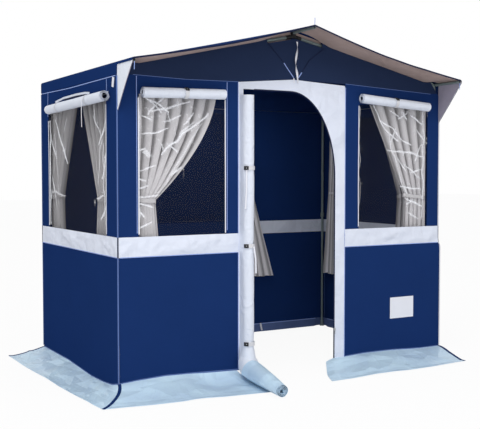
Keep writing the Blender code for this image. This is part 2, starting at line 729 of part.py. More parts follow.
def make_zip_slider():
    """Slider of the door's zip on the straight part of the right jamb, with its pull."""
    edge = DOOR_RIGHT + ZIP_IN
    half, low, high = SLIDER_WIDTH / 2, SLIDER_LOW, SLIDER_LOW + SLIDER_LENGTH
    outline = [(edge - half, low), (edge + half, low), (edge + half, high - half / 2)]
    outline += [(edge + half / 3, high), (edge - half / 3, high), (edge - half, high - half / 2)]
    pivot = at("front", edge, FIT, low)
    slider = panel("zip_slider", "front", outline, FIT, SLIDER_THICK, ZINC, (), pivot)
    pull = rectangle(edge - half / 2, edge + half / 2, low - SLIDER_LENGTH, low + SLIDER_LENGTH / 2)
    outer = SLIDER_THICK + PULL_THICK
    raised = panel("zip_slider_pull", "front", pull, SLIDER_THICK - PULL_THICK, outer, ZINC)
    combine(slider, raised, "UNION")


# Curtains


def make_curtain(name, side, window, far, past, top, tie, bottom, flare, fullness):
    """Tied-back curtain: pleats from the wire, drawn in at the tie, hanging on below the sill."""
    span = window[1] - window[0]
    edge, way = (window[1] + past, -1) if far else (window[0] - past, 1)
    top, tie, bottom = top * span, tie * span, bottom * span
    upper, lower = CURTAIN_TOP - CURTAIN_TIE, CURTAIN_TIE - CURTAIN_BOTTOM
    heights = [CURTAIN_TOP] + [CURTAIN_TIE + upper * step for step in CURTAIN_STEPS]
    heights += [CURTAIN_TIE - lower * step for step in CURTAIN_LOWER_STEPS] + [CURTAIN_BOTTOM]
    columns = 4 * CURTAIN_FOLDS
    grids = []
    for back in (CLOTH / 2, -CLOTH / 2):
        rows = []
        for z in heights:
            above = max((z - CURTAIN_TIE) / upper, 0.0)
            below = max((CURTAIN_TIE - z) / lower, 0.0)
            width = tie + (top - tie) * (1 - (1 - above) ** fullness) + (bottom - tie) * below
            depth = TIE_FOLD_DEPTH + (FOLD_DEPTH - TIE_FOLD_DEPTH) * above
            row = []
            for i in range(columns + 1):
                wave = math.cos(math.pi * i / 2)
                along = edge + way * (width * i / columns - flare * below)
                row.append(at(side, along, -WIRE_IN + depth * wave + back, z))
            rows.append(row)
        grids.append(rows)
    pivot = at(side, edge, -WIRE_IN, CURTAIN_TOP)
    sheet(name, grids[0], grids[1], CURTAIN, pivot)


def make_curtains():
    """Two curtains to each wide window, one to each narrow front window."""
    for label, curtain in CURTAINS.items():
        make_curtain(f"curtain_{label}", *curtain)


def make_curtain_wire():
    """One wire round the cabin, its ends fast to the front wall on both sides of the door."""
    touch = -CLOTH - FIT - WIRE_R
    ends, bends = WIRE_END, WIRE_END + WIRE_IN
    route = [at("front", SURROUND_LEFT - ends, touch, WIRE_Z)]
    route.append(at("front", SURROUND_LEFT - bends, -WIRE_IN, WIRE_Z))
    route.append(Vector((LEFT + WIRE_IN, FRONT + WIRE_IN, WIRE_Z)))
    route.append(Vector((LEFT + WIRE_IN, REAR - WIRE_IN, WIRE_Z)))
    route.append(Vector((RIGHT - WIRE_IN, REAR - WIRE_IN, WIRE_Z)))
    route.append(Vector((RIGHT - WIRE_IN, FRONT + WIRE_IN, WIRE_Z)))
    route.append(at("front", SURROUND_RIGHT + bends, -WIRE_IN, WIRE_Z))
    route.append(at("front", SURROUND_RIGHT + ends, touch, WIRE_Z))
    curve = bpy.data.curves.new("curtain_wire", "CURVE")
    curve.dimensions = "3D"
    curve.bevel_depth = WIRE_R
    curve.bevel_resolution = 1
    curve.use_fill_caps = True
    line = curve.splines.new("POLY")
    line.points.add(len(route) - 1)
    for point, place in zip(line.points, route):
        point.co = (*place, 1.0)
    curve.materials.append(STEEL)
    made = bpy.data.objects.new("curtain_wire", curve)
    bpy.context.scene.collection.objects.link(made)


# Skirt on the ground


def skirt_columns():
    """Pairs of plan points round the tent: on the wall line and on the outer edge."""
    seam = -CLOTH / 2
    door_left, door_right = SURROUND_LEFT - 0.015, DOOR_RIGHT + 0.004
    wall = [at("front", door_left, seam, 0), at("front", 0, seam, 0), at("left", DEPTH, seam, 0)]
    wall[1].x = wall[2].x
    wall[2].y = REAR + seam
    wall.append(Vector((RIGHT + seam, REAR + seam, 0)))
    wall.append(Vector((RIGHT + seam, FRONT - seam, 0)))
    wall.append(at("front", door_right, seam, 0))
    outer = [at("front", door_left - 0.063, SKIRT_FRONT + 0.095, 0)]
    outer.append(at("front", 0.054 - SKIRT_LEFT, SKIRT_FRONT - 0.035, 0))
    outer.append(Vector((LEFT - SKIRT_LEFT, REAR, 0)))
    outer.append(Vector((RIGHT + SKIRT_RIGHT, REAR + SKIRT_REAR, 0)))
    outer.append(at("front", WIDTH - 0.040, SKIRT_FRONT + 0.015, 0))
    outer.append(at("front", door_right - 0.254, SKIRT_FRONT + 0.030, 0))
    counts = (9, 10, 12, 10, 10)
    pairs = []
    for leg, count in enumerate(counts):
        for i in range(count + (leg == len(counts) - 1)):
            share = i / count
            edge = outer[leg].lerp(outer[leg + 1], share)
            if leg == 0:
                edge.y -= 0.030 * math.sin(math.pi * share) * (share - 0.75)
            if leg == 1:
                edge.x = LEFT - SKIRT_LEFT + 0.054 * (1 - share) ** 2
            if leg == 2 and i == 1:
                edge = outer[2] + Vector((*REAR_FOLD, 0))
            if leg == 2 and i > 1:
                edge.y = REAR + SKIRT_REAR
            if leg == 3:
                edge.x = RIGHT + SKIRT_RIGHT - (0.040 + SKIRT_RIGHT) * share**6
            pairs.append((wall[leg].lerp(wall[leg + 1], share), edge))
    return pairs


def make_skirt():
    """Light blue mud skirt, one welded strip that falls from the walls and lies on the ground."""
    shares = (0.0, 0.10, 0.24, 0.45, 0.72, 1.0)
    upper, lower = [], []
    pairs = skirt_columns()
    for row_number, share in enumerate(shares):
        top, bottom = [], []
        for i, (wall, edge) in enumerate(pairs):
            flat = wall.lerp(edge, share)
            fall = (SKIRT_SEAM - FIT - CLOTH) * (1 - share) ** 2.2
            ripple = 0.5 + 0.5 * math.sin(2.1 * i + 1.3 * row_number)
            lift = 0.010 * ripple * math.sin(math.pi * share)
            z = fall + lift
            bottom.append(Vector((flat.x, flat.y, z)))
            top.append(Vector((flat.x, flat.y, z + CLOTH)))
        upper.append(top)
        lower.append(bottom)
    sheet("mud_skirt", upper, lower, SKIRT_BLUE)


# Steel frame


def frame_corners():
    """Name, along, end and turn of each corner: its leg's place and where its rafter heads."""
    for end, y in (("front", FRONT + LEG_INSET), ("rear", REAR - LEG_INSET)):
        for side, x, way in (("left", LEFT + LEG_INSET, 1), ("right", RIGHT - LEG_INSET, -1)):
            yield f"{end}_{side}", x, y, way


def make_legs():
    """Telescopic legs: a lower tube with a boot slides in an upper one with a clamp."""
    for label, x, y, way in frame_corners():
        top = LEG_SPLIT + LEG_OVERLAP
        profile = [(0, 0), (FOOT_R, 0), (FOOT_R, FOOT_H), (BOOT_R, 2 * FOOT_H), (BOOT_R, BOOT_H)]
        profile += [(SLIDER_R, BOOT_H), (SLIDER_R, top), (SLIDER_BORE, top)]
        profile += [(SLIDER_BORE, 2 * FOOT_H), (0, 2 * FOOT_H)]
        turned(f"leg_lower_{label}", profile, (x, y, 0), STEEL, (x, y, 0))

        collar = LEG_SPLIT + CLAMP_H
        path = [(x, y, LEG_SPLIT), (x, y, collar), (x, y, collar + FIT), (x, y, LEG_TOP)]
        radii = [CLAMP_R, CLAMP_R, TUBE_R, TUBE_R]
        upper = tube(f"leg_upper_{label}", path, radii, TUBE_BORE, STEEL)
        inward = Vector((way, 1 if y < (FRONT + REAR) / 2 else -1, 0)).normalized()
        height = Vector((x, y, LEG_SPLIT + CLAMP_H / 2))
        shank = height + inward * (TUBE_BORE + CLAMP_R) / 2
        tip = height + inward * (CLAMP_R + KNOB_LENGTH)
        combine(upper, rod(f"{label}_clamp_knob", shank, tip, KNOB_R, BLACK), "UNION")


def rafter_point(run):
    """Height of a rafter's centre line at a distance in from the wall, past the bend."""
    return RAFTER_PEAK - (WIDTH / 2 - run) * math.tan(RAFTER_SLOPE)


def make_rafters():
    """Rafter tubes: a spigot into the leg, the bend at the eave, and a run up to the ridge."""
    for label, x, y, way in frame_corners():
        path = [(x, y, LEG_TOP - SPIGOT), (x, y, LEG_TOP), (x, y, LEG_TOP + FIT)]
        radii = [SLIDER_R, SLIDER_R, TUBE_R]
        turn = math.pi / 2 - RAFTER_SLOPE
        for i in range(BEND_STEPS + 1):
            angle = turn * i / BEND_STEPS
            run = BEND_R * (1 - math.cos(angle))
            path.append((x + way * run, y, BEND_START + BEND_R * math.sin(angle)))
        run = WIDTH / 2 - RAFTER_END
        path.append((x + way * (run - LEG_INSET), y, rafter_point(run)))
        radii += [TUBE_R] * (len(path) - len(radii))
        tube(f"rafter_{label}", path, radii, SLIDER_BORE, STEEL)


def make_ridge():
    """Ridge pole in two moulded joints that also take the rafters' upper ends."""
    ends = [(MIDDLE, FRONT + CLOTH, RIDGE_AXIS_Z), (MIDDLE, REAR - CLOTH - FIT, RIDGE_AXIS_Z)]
    tube("ridge_pole", ends, [TUBE_R, TUBE_R], TUBE_BORE, STEEL)
    for label, y in (("front", FRONT + LEG_INSET), ("rear", REAR - LEG_INSET)):
        low = Vector((MIDDLE, y - SLEEVE_R, RIDGE_AXIS_Z))
        high = Vector((MIDDLE, y + SLEEVE_R, RIDGE_AXIS_Z))
        joint = rod(f"ridge_joint_{label}", low, high, SLEEVE_R, BLACK, None, 16)
        core = (RAFTER_END + JOINT_WEB, SLEEVE_R - JOINT_WEB / 2, SLEEVE_R - JOINT_WEB / 2)
        centre = Vector((MIDDLE, y, RAFTER_PEAK + JOINT_WEB / 2))
        block = box(f"{label}_joint_core", centre - Vector(core), centre + Vector(core), BLACK)
        combine(joint, block, "UNION")
        for way in (-1, 1):
            start = Vector((MIDDLE + way * 0.004, y, RAFTER_PEAK - 0.004 * math.tan(RAFTER_SLOPE)))
            heading = Vector((way * math.cos(RAFTER_SLOPE), 0, -math.sin(RAFTER_SLOPE)))
            name = f"{label}_joint_sleeve_{way}"
            end = start + heading * JOINT_REACH
            combine(joint, rod(name, start, end, SLEEVE_R, BLACK, None, 14), "UNION")
        if label == "front":
            knob = Vector((MIDDLE + 0.030, y, rafter_point(WIDTH / 2 - 0.030)))
            face = knob + Vector((0, -SLEEVE_R - KNOB_R, 0))
            bolt = knob + Vector((0, -TUBE_R - 0.0015, 0))
            combine(joint, rod("front_joint_knob", bolt, face, KNOB_R, BLACK), "UNION")
        for way in (-1, 1):
            run = WIDTH / 2 - RAFTER_END + FIT
            start = Vector((MIDDLE + way * (RAFTER_END - FIT), y, rafter_point(run)))
            heading = Vector((way * math.cos(RAFTER_SLOPE), 0, -math.sin(RAFTER_SLOPE)))
            name = f"{label}_joint_bore_{way}"
            end = start + heading * (JOINT_REACH + 0.02)
            combine(joint, rod(name, start, end, TUBE_R + FIT, BLACK, None, 14), "DIFFERENCE")
        length = Vector((0, 2 * SLEEVE_R, 0))
        middle = Vector((MIDDLE, y, RIDGE_AXIS_Z))
        bore = rod(f"{label}_joint_saddle", middle - length, middle + length, TUBE_R + FIT, BLACK, None, 14)
        combine(joint, bore, "DIFFERENCE")
        reach = Vector((4 * SLEEVE_R, 2 * SLEEVE_R, 0))
        lid = box(
            f"{label}_joint_top",
            middle - reach + Vector((0, 0, 0.002)),
            middle + reach + Vector((0, 0, 0.05)),
            BLACK,
        )
        combine(joint, lid, "DIFFERENCE")


def make_eave_poles_and_arms():
    """Eave poles outside the bends, and the three arms that slide out of the poles under the visor."""
    for label, x in (("left", LEFT + EAVE_AXIS_IN), ("right", RIGHT - EAVE_AXIS_IN)):
        ends = [(x, FRONT + CLOTH, EAVE_AXIS_Z), (x, REAR - CLOTH - FIT, EAVE_AXIS_Z)]
        tube(f"eave_pole_{label}", ends, [TUBE_R, TUBE_R], TUBE_BORE, STEEL)
    arms = (
        ("left", LEFT + EAVE_AXIS_IN, EAVE_AXIS_Z),
        ("ridge", MIDDLE, RIDGE_AXIS_Z),
        ("right", RIGHT - EAVE_AXIS_IN, EAVE_AXIS_Z),
    )
    for label, x, z in arms:
        tip = (x, FRONT - VISOR + 2 * CLOTH, z)
        ends = [tip, (x, FRONT + ARM_OVERLAP, z)]
        tube(f"visor_arm_{label}", ends, [SLIDER_R, SLIDER_R], SLIDER_BORE, STEEL, tip)


make_roof()
make_visor_lining()
make_walls()
make_door_surround()
make_waist_band()
make_windows()
make_closed_covers()
for roll_label, roll in ROLLS.items():
    make_cover_roll(roll_label, *roll)
make_door_roll()
make_zip_slider()
make_curtains()
make_curtain_wire()
make_skirt()
make_legs()
make_rafters()
make_ridge()
make_eave_poles_and_arms()
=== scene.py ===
"""Kitchen tent: the cloth, film, webbing and tubes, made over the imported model's frame.

The ground is z = 0 and the door side faces -Y. All sizes are metres unless a comment says otherwise.
Distances along a wall run from its left or front corner; distances out of a wall run from its
outer face, with inside the tent negative.
"""

import logging
import math
from dataclasses import dataclass, field
from enum import Enum
from functools import partial
from typing import Any, Sequence

import bpy
import numpy as np
from mathutils import Matrix, Vector


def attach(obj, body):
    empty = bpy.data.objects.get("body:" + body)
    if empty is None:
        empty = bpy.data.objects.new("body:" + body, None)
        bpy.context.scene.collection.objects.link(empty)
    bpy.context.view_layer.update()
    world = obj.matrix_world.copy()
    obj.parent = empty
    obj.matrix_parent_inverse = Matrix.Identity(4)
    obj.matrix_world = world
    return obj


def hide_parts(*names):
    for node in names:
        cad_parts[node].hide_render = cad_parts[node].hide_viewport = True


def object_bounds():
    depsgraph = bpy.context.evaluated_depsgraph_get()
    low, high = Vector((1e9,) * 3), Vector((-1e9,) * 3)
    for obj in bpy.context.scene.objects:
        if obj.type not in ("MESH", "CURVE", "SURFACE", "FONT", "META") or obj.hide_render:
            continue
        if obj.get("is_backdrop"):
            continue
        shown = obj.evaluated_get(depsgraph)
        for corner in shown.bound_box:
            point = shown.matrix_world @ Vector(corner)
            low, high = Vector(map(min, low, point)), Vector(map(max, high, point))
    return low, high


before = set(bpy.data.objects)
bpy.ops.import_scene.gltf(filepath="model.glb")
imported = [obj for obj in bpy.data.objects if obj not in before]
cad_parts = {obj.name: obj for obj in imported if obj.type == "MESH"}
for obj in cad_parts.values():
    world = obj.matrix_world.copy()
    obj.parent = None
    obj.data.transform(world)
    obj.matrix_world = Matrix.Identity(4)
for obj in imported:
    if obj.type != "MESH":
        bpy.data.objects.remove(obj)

logging.basicConfig(level=logging.INFO, format="%(message)s")
log = logging.getLogger("kitchen_tent")
CAD_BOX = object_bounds()
IMAGE_SIZE = (480, 429)
# A wave texture has this scale where its bands are a metre apart
WAVE_METRE = 0.314
DOWN = np.array([0.0, 0.0, -1.0])

Array = np.ndarray
Socket = bpy.types.NodeSocket
Tree = bpy.types.NodeTree
Piece = bpy.types.Object


@dataclass(frozen=True)
class TentSizes:
    """Sizes that more than one sub-assembly needs."""

    width: float = 2.50
    depth: float = 1.45
    left: float = -1.1425
    front: float = -0.595
    skirt_seam: float = 0.060
    eave_seam: float = 1.907
    ridge_top: float = 2.265
    visor: float = 0.23
    wing_bottom: float = 1.694
    cloth: float = 0.002
    film: float = 0.0008
    fit: float = 0.0004
    band_bottom: float = 0.822
    band_top: float = 0.943
    surround_left: float = 0.820
    surround_right: float = 1.658
    door_left: float = 0.857
    door_right: float = 1.574
    door_top: float = 1.862
    arch_start: float = 1.212
    arch_spring: float = 1.300
    eave_axis_in: float = 0.0121
    eave_axis_z: float = 1.969
    roof_edge_r: float = 0.0145
    roof_slope: float = 0.22332
    rafter_peak: float = 2.22514
    rafter_slope: float = 0.20300

    @property
    def right(self) -> float:
        """Place of the right wall's outer face."""
        return self.left + self.width

    @property
    def rear(self) -> float:
        """Place of the rear wall's outer face."""
        return self.front + self.depth

    @property
    def side(self) -> float:
        """Where the front and rear walls start beside the side walls."""
        return self.cloth + self.fit


TENT = TentSizes()


class Wall(Enum):
    """The four walls, each with its own distance along and out."""

    FRONT = "front"
    REAR = "rear"
    LEFT = "left"
    RIGHT = "right"

    def place(self, along: Any, out: Any, height: Any) -> Array:
        """Points on the wall.

        Args:
            along: Distance along the wall, a number or an array.
            out: Distance out of the wall's outer face.
            height: Height over the ground.

        Returns:
            An array of points, shaped like the arguments with three more numbers each.
        """
        along, out, height = np.broadcast_arrays(*(np.asarray(v, float) for v in (along, out, height)))
        x, y = {
            Wall.FRONT: (TENT.left + along, TENT.front - out),
            Wall.REAR: (TENT.left + along, TENT.rear + out),
            Wall.LEFT: (TENT.left - out, TENT.front + along),
            Wall.RIGHT: (TENT.right + out, TENT.front + along),
        }[self]
        return stack(x, y, height)

    @property
    def outward(self) -> Array:
        """Unit vector out of the wall."""
        return self.place(0.0, 1.0, 0.0) - self.place(0.0, 0.0, 0.0)

    @property
    def onward(self) -> Array:
        """Unit vector along the wall."""
        return self.place(1.0, 0.0, 0.0) - self.place(0.0, 0.0, 0.0)

    @property
    def length(self) -> float:
        """Length of the wall."""
        return TENT.width if self in (Wall.FRONT, Wall.REAR) else TENT.depth


@dataclass(frozen=True)
class Window:
    """A window opening: its wall, its ends along the wall and its upper edge."""

    wall: Wall
    start: float
    end: float
    top: float


WINDOWS = {
    "front_left": Window(Wall.FRONT, 0.130, 0.730, 1.800),
    "front_right": Window(Wall.FRONT, 1.777, 2.396, 1.800),
    "left": Window(Wall.LEFT, 0.180, 1.300, 1.765),
    "right": Window(Wall.RIGHT, 0.180, 1.300, 1.765),
    "rear": Window(Wall.REAR, 0.600, 1.760, 1.800),
}


class Slot(Enum):
    """Material slots of the record."""

    NAVY = "navy_cloth"
    WHITE = "white_cloth"
    LINING = "lining_cloth"
    SKIRT = "skirt_pvc"
    FILM = "window_pvc"
    CURTAIN = "curtain_cloth"
    WEBBING = "webbing"
    STEEL = "frame_steel"
    ZINC = "zinc"
    PLASTIC = "black_plastic"


class Lie(Enum):
    """Side of a sheet's drawn surface on which its thickness lies."""

    BEHIND = -1.0
    CENTRED = 0.0


# Noise and small shape functions


class ValueNoise:
    """Smooth seeded noise on a square lattice, from -1 to 1."""

    def __init__(self, seed: int) -> None:
        """Fills the lattice from a seed, so that every run gives the same cloth."""
        self.table = np.random.default_rng(seed).uniform(-1.0, 1.0, (64, 64))

    def __call__(self, x: Array, y: Array) -> Array:
        """Noise at some points.

        Args:
            x: First coordinates, in lattice steps.
            y: Second coordinates.

        Returns:
            The noise.
        """
        x, y = np.broadcast_arrays(np.asarray(x, float), np.asarray(y, float))
        x0, y0 = np.floor(x).astype(int), np.floor(y).astype(int)
        u, v = x - x0, y - y0
        u, v = u * u * u * (u * (6 * u - 15) + 10), v * v * v * (v * (6 * v - 15) + 10)
        corner = lambda i, j: self.table[(x0 + i) % 64, (y0 + j) % 64]
        low = corner(0, 0) * (1 - u) + corner(1, 0) * u
        high = corner(0, 1) * (1 - u) + corner(1, 1) * u
        return low * (1 - v) + high * v

    def layered(self, x: Array, y: Array, octaves: int = 2) -> Array:
        """Sum of octaves, each half as strong and twice as fine."""
        return sum(self(x * 2**k + 17.3 * k, y * 2**k + 5.1 * k) * 0.5**k for k in range(octaves))

    def creased(self, x: Array, y: Array, octaves: int = 2) -> Array:
        """Sharp crests like creases.

        Args:
            x: First coordinates, in lattice steps.
            y: Second coordinates.
            octaves: Number of layers, each half as strong and twice as fine.

        Returns:
            The height, from 0 to about 1.
        """
        warp = 0.6 * self(x * 0.5 + 9.2, y * 0.5 + 3.7)
        total = 0.0
        for k in range(octaves):
            bare = 1 - np.abs(self((x + warp) * 2**k + 31.7 * k, (y - warp) * 2**k + 11.9 * k))
            total = total + bare**5 * 0.5**k
        return total


def smooth(value: Any, low: float, high: float) -> Array:
    """Smooth step from 0 at low to 1 at high."""
    share = np.clip((np.asarray(value, float) - low) / (high - low), 0.0, 1.0)
    return share * share * (3 - 2 * share)


def ticks(step: float, *marks: float) -> Array:
    """Places through all marks, about a step apart.

    Args:
        step: Distance aimed at between two places.
        marks: Places that have to be among them, in order.

    Returns:
        The places in order.
    """
    parts = []
    for low, high in zip(marks, marks[1:]):
        parts.append(np.linspace(low, high, max(1, round((high - low) / step)), endpoint=False))
    return np.append(np.concatenate(parts), marks[-1])


def middles(values: Array) -> Array:
    """Middles between neighbours."""
    return (values[:-1] + values[1:]) / 2


def stack(*parts: Any) -> Array:
    """Coordinates, each an array or one number, put together into points."""
    return np.stack(np.broadcast_arrays(*parts), axis=-1)


def unit(vectors: Array) -> Array:
    """The vectors at length 1."""
    return vectors / np.linalg.norm(vectors, axis=-1, keepdims=True)


def run_length(points: Array) -> Array:
    """Distance of each point of a path from its start, measured along it."""
    return np.concatenate([[0.0], np.cumsum(np.linalg.norm(np.diff(points, axis=0), axis=1))])


def line_distance(x: Array, y: Array, start: Sequence[float], end: Sequence[float]) -> tuple[Array, Array]:
    """Distance of points from a segment, and how far along it they lie.

    Args:
        x: First coordinates of the points.
        y: Second coordinates of the points.
        start: One end of the segment.
        end: The other end.

    Returns:
        The distances and the shares along the segment, from 0 to 1.
    """
    dx, dy = end[0] - start[0], end[1] - start[1]
    share = np.clip(((x - start[0]) * dx + (y - start[1]) * dy) / (dx * dx + dy * dy), 0.0, 1.0)
    return np.hypot(x - start[0] - share * dx, y - start[1] - share * dy), share


CLOTH_NOISE = ValueNoise(11)
CREASE_NOISE = ValueNoise(23)
FOLD_NOISE = ValueNoise(37)


# Height of the seam between wall and skirt, which rises and sinks with the ground under it
SKIRT_SEAMS = {
    Wall.FRONT: ((0.0, 0.064), (0.13, 0.074), (0.31, 0.082), (0.50, 0.076), (0.82, 0.064), (1.66, 0.062),
                 (1.83, 0.070), (2.08, 0.068), (2.34, 0.055), (2.50, 0.056)),
    Wall.LEFT: ((0.0, 0.064), (0.10, 0.040), (0.25, 0.028), (0.47, 0.024), (0.68, 0.036), (0.90, 0.048),
                (1.45, 0.050)),
    Wall.REAR: ((0.0, 0.050), (0.5, 0.060), (2.5, 0.056)),
    Wall.RIGHT: ((0.0, 0.056), (1.45, 0.056)),
}


def seam_height(wall: Wall, along: Array) -> Array:
    """Height of the skirt's seam along a wall."""
    return np.interp(along, *zip(*SKIRT_SEAMS[wall]))


def wall_relief(wall: Wall, along: Array, height: Array) -> Array:
    """How far a wall's cloth stands out of its plane, the same for all that is sewn to it.

    Args:
        wall: The wall.
        along: Distances along it.
        height: Heights.

    Returns:
        Distances out of the wall's plane; 0 along its sewn edges.
    """
    order = list(Wall).index(wall)
    marks = [0.0, wall.length]
    if wall is Wall.FRONT:
        marks += [TENT.surround_left, TENT.surround_right]
    near = np.min([np.abs(along - mark) for mark in marks], axis=0)
    mask = smooth(near, 0.0, 0.16) * smooth(height, TENT.skirt_seam, 0.20)
    mask = mask * (1 - smooth(height, TENT.eave_seam - 0.12, TENT.eave_seam - 0.005))
    slack = CLOTH_NOISE.layered(along * 2.1 + 7 * order, height * 1.5 + 3 * order)
    folds = CREASE_NOISE.creased(along * 2.6 + 5 * order + 0.5 * height, height * 2.2)
    return mask * (0.0028 * slack + 0.0008 * folds)


# Finishes


def linear(colour: str) -> tuple[float, float, float, float]:
    """Linear colour, with an alpha of 1, of six sRGB hex digits."""
    channels = [int(colour[i : i + 2], 16) / 255 for i in (0, 2, 4)]
    return (*[c / 12.92 if c <= 0.04045 else ((c + 0.055) / 1.055) ** 2.4 for c in channels], 1.0)


def shade(colour: str, factor: float) -> str:
    """The hex colour with its channels times a factor."""
    return "".join(f"{min(255, round(int(colour[i : i + 2], 16) * factor)):02X}" for i in (0, 2, 4))


def add_node(tree: Tree, kind: str, inputs: dict | None = None, out: int | str = 0,
             **settings: Any) -> Socket:
    """Adds a node with its settings and links.

    Args:
        tree: Node tree.
        kind: Node type, without the ShaderNode at its start.
        inputs: Values or output sockets by input name or number.
        out: Name or number of the output that is wanted.
        settings: Attributes of the node.

    Returns:
        The output socket.
    """
    node = tree.nodes.new("ShaderNode" + kind)
    for name, value in settings.items():
        setattr(node, name, value)
    for name, value in (inputs or {}).items():
        if isinstance(value, Socket):
            tree.links.new(value, node.inputs[name])
        else:
            node.inputs[name].default_value = value
    return node.outputs[out]


def add_blend(tree: Tree, share: Socket, low: Socket | str, high: str) -> Socket:
    """Adds a blend from a colour or socket to a colour, both as hex digits."""
    low = linear(low) if isinstance(low, str) else low
    return add_node(tree, "Mix", {0: share, 6: low, 7: linear(high)}, 2, data_type="RGBA")


@dataclass(frozen=True)
class Finish:
    """A surface finish: its plain name, colour, gloss and usual slot of the record."""

    name: str
    colour: str
    roughness: float
    slot: Slot

    def material(self) -> bpy.types.Material:
        """The finish's material, made once.

        Returns:
            The material.
        """
        found = bpy.data.materials.get(self.name)
        if found is None:
            found = bpy.data.materials.new(self.name)
            found.use_nodes = True
            shader = found.node_tree.nodes["Principled BSDF"]
            shader.inputs["Base Color"].default_value = linear(self.colour)
            shader.inputs["Roughness"].default_value = self.roughness
            found.diffuse_color = linear(self.colour)
            self.dress(found.node_tree, shader)
        return found

    def dress(self, tree: Tree, shader: Any) -> None:
        """Adds the finish's own nodes."""


@dataclass(frozen=True)
class CoatedCloth(Finish):
    """Plain woven polyester with a coating, as tent walls are made of."""

    thread: float = 0.0011
    weave_height: float = 0.00006
    crumple: float = 0.0012
    crumple_scale: float = 9.0
    mottle: float = 0.06
    specular: float = 0.10
    facets: float = 0.0
    fold_shade: float = 0.0

    def dress(self, tree: Tree, shader: Any) -> None:
        """Weave, soft crumples, slight mottling and, where fold_shade is set, painted shade in fold valleys, all
        on the cloth's own metres.

        Args:
            tree: Node tree of the material.
            shader: Its shader.
        """
        node = partial(add_node, tree)
        uv = node("UVMap", uv_map="Cloth")
        broad = node("TexNoise", {"Vector": uv, "Scale": self.crumple_scale, "Detail": 3.0, "Roughness": 0.55,
                                  "Distortion": 0.6})
        ridge = node("Math", {0: broad, 1: 0.5}, operation="SUBTRACT")
        ridge = node("Math", {0: ridge}, operation="ABSOLUTE")
        crest = node("MapRange", {"Value": ridge, "From Max": 0.16, "To Min": 1.0, "To Max": 0.0},
                     interpolation_type="SMOOTHSTEP")
        bump = node("Bump", {"Height": crest, "Distance": self.crumple, "Strength": 1.0})
        if self.facets:
            wander = node("TexNoise", {"Vector": uv, "Scale": 2.2, "Detail": 2.0}, "Color")
            place = node("VectorMath", {0: wander, 1: (0.16, 0.16, 0.0)}, operation="MULTIPLY")
            place = node("VectorMath", {0: uv, 1: place}, operation="ADD")
            cells = node("TexVoronoi", {"Vector": place, "Scale": self.crumple_scale * 1.6}, "Distance",
                         feature="F1", distance="MANHATTAN")
            bump = node("Bump", {"Height": cells, "Distance": self.facets, "Strength": 1.0, "Normal": bump})
        # Threads are about 0.3 mm apart, drawn at 1.1 mm so that they still show close to.
        waves = [node("TexWave", {"Vector": uv, "Scale": WAVE_METRE / self.thread, "Distortion": 0.4}, "Fac",
                      wave_type="BANDS", bands_direction=axis) for axis in "XY"]
        height = node("Math", {0: waves[0], 1: waves[1]}, operation="MAXIMUM")
        weave = node("Bump",
                     {"Height": height, "Distance": self.weave_height, "Strength": 1.0, "Normal": bump})
        tree.links.new(weave, shader.inputs["Normal"])
        tone = node("TexNoise", {"Vector": uv, "Scale": 3.0, "Detail": 4.0, "Roughness": 0.6})
        tint = add_blend(tree, tone, shade(self.colour, 1 - self.mottle), shade(self.colour, 1 + self.mottle))
        # Painted shade: the base colour darkens towards 42 % in the fold valleys that the crease attribute
        # marks.
        if self.fold_shade:
            deep = node("Attribute", out="Fac", attribute_name="crease")
            held = node("MapRange", {"Value": deep, "To Max": self.fold_shade})
            tint = add_blend(tree, held, tint, shade(self.colour, 0.42))
        tree.links.new(tint, shader.inputs["Base Color"])
        gloss = node("MapRange",
                     {"Value": broad, "To Min": self.roughness - 0.08, "To Max": self.roughness + 0.08})
        tree.links.new(gloss, shader.inputs["Roughness"])
        shader.inputs["Specular IOR Level"].default_value = self.specular


@dataclass(frozen=True)
class ClearFilm(Finish):
    """Clear soft PVC film, rolled up for storage, so it keeps creases, drawn as painted white highlights."""

    base_alpha: float = 0.10
    crease_alpha: float = 1.0
    # Painted reflection: dark brown-grey of the film between its creases
    tint: str = "343230"

    def dress(self, tree: Tree, shader: Any) -> None:
        """Between its creases the film has a dark tint as a painted reflection of dark surroundings; the creases
        are painted white highlights, opaque where brightest.

        Args:
            tree: Node tree of the material.
            shader: Its shader.
        """
        node = partial(add_node, tree)
        uv = node("UVMap", uv_map="Cloth")
        mark = node("Attribute", out="Fac", attribute_name="crease")
        grit = node("TexNoise", {"Vector": uv, "Scale": 90.0, "Detail": 2.0, "Roughness": 0.6})
        broken = node("MapRange",
                      {"Value": grit, "From Min": 0.30, "From Max": 0.62, "To Min": 0.50, "To Max": 1.0})
        veil = node("Math", {0: mark, 1: broken}, operation="MULTIPLY")
        alpha = node("MapRange", {"Value": veil, "To Min": self.base_alpha, "To Max": self.crease_alpha})
        tree.links.new(alpha, shader.inputs["Alpha"])
        # Painted highlight: crease marks turn the tint to near white.
        pale = node("MapRange", {"Value": veil, "From Max": 0.12})
        tree.links.new(add_blend(tree, pale, self.tint, self.colour), shader.inputs["Base Color"])
        fine = node("TexNoise", {"Vector": uv, "Scale": 30.0, "Detail": 2.0})
        bump = node("Bump", {"Height": fine, "Distance": 0.0006})
        tree.links.new(bump, shader.inputs["Normal"])
        shader.inputs["IOR"].default_value = 1.53
        shader.inputs["Specular IOR Level"].default_value = 0.0


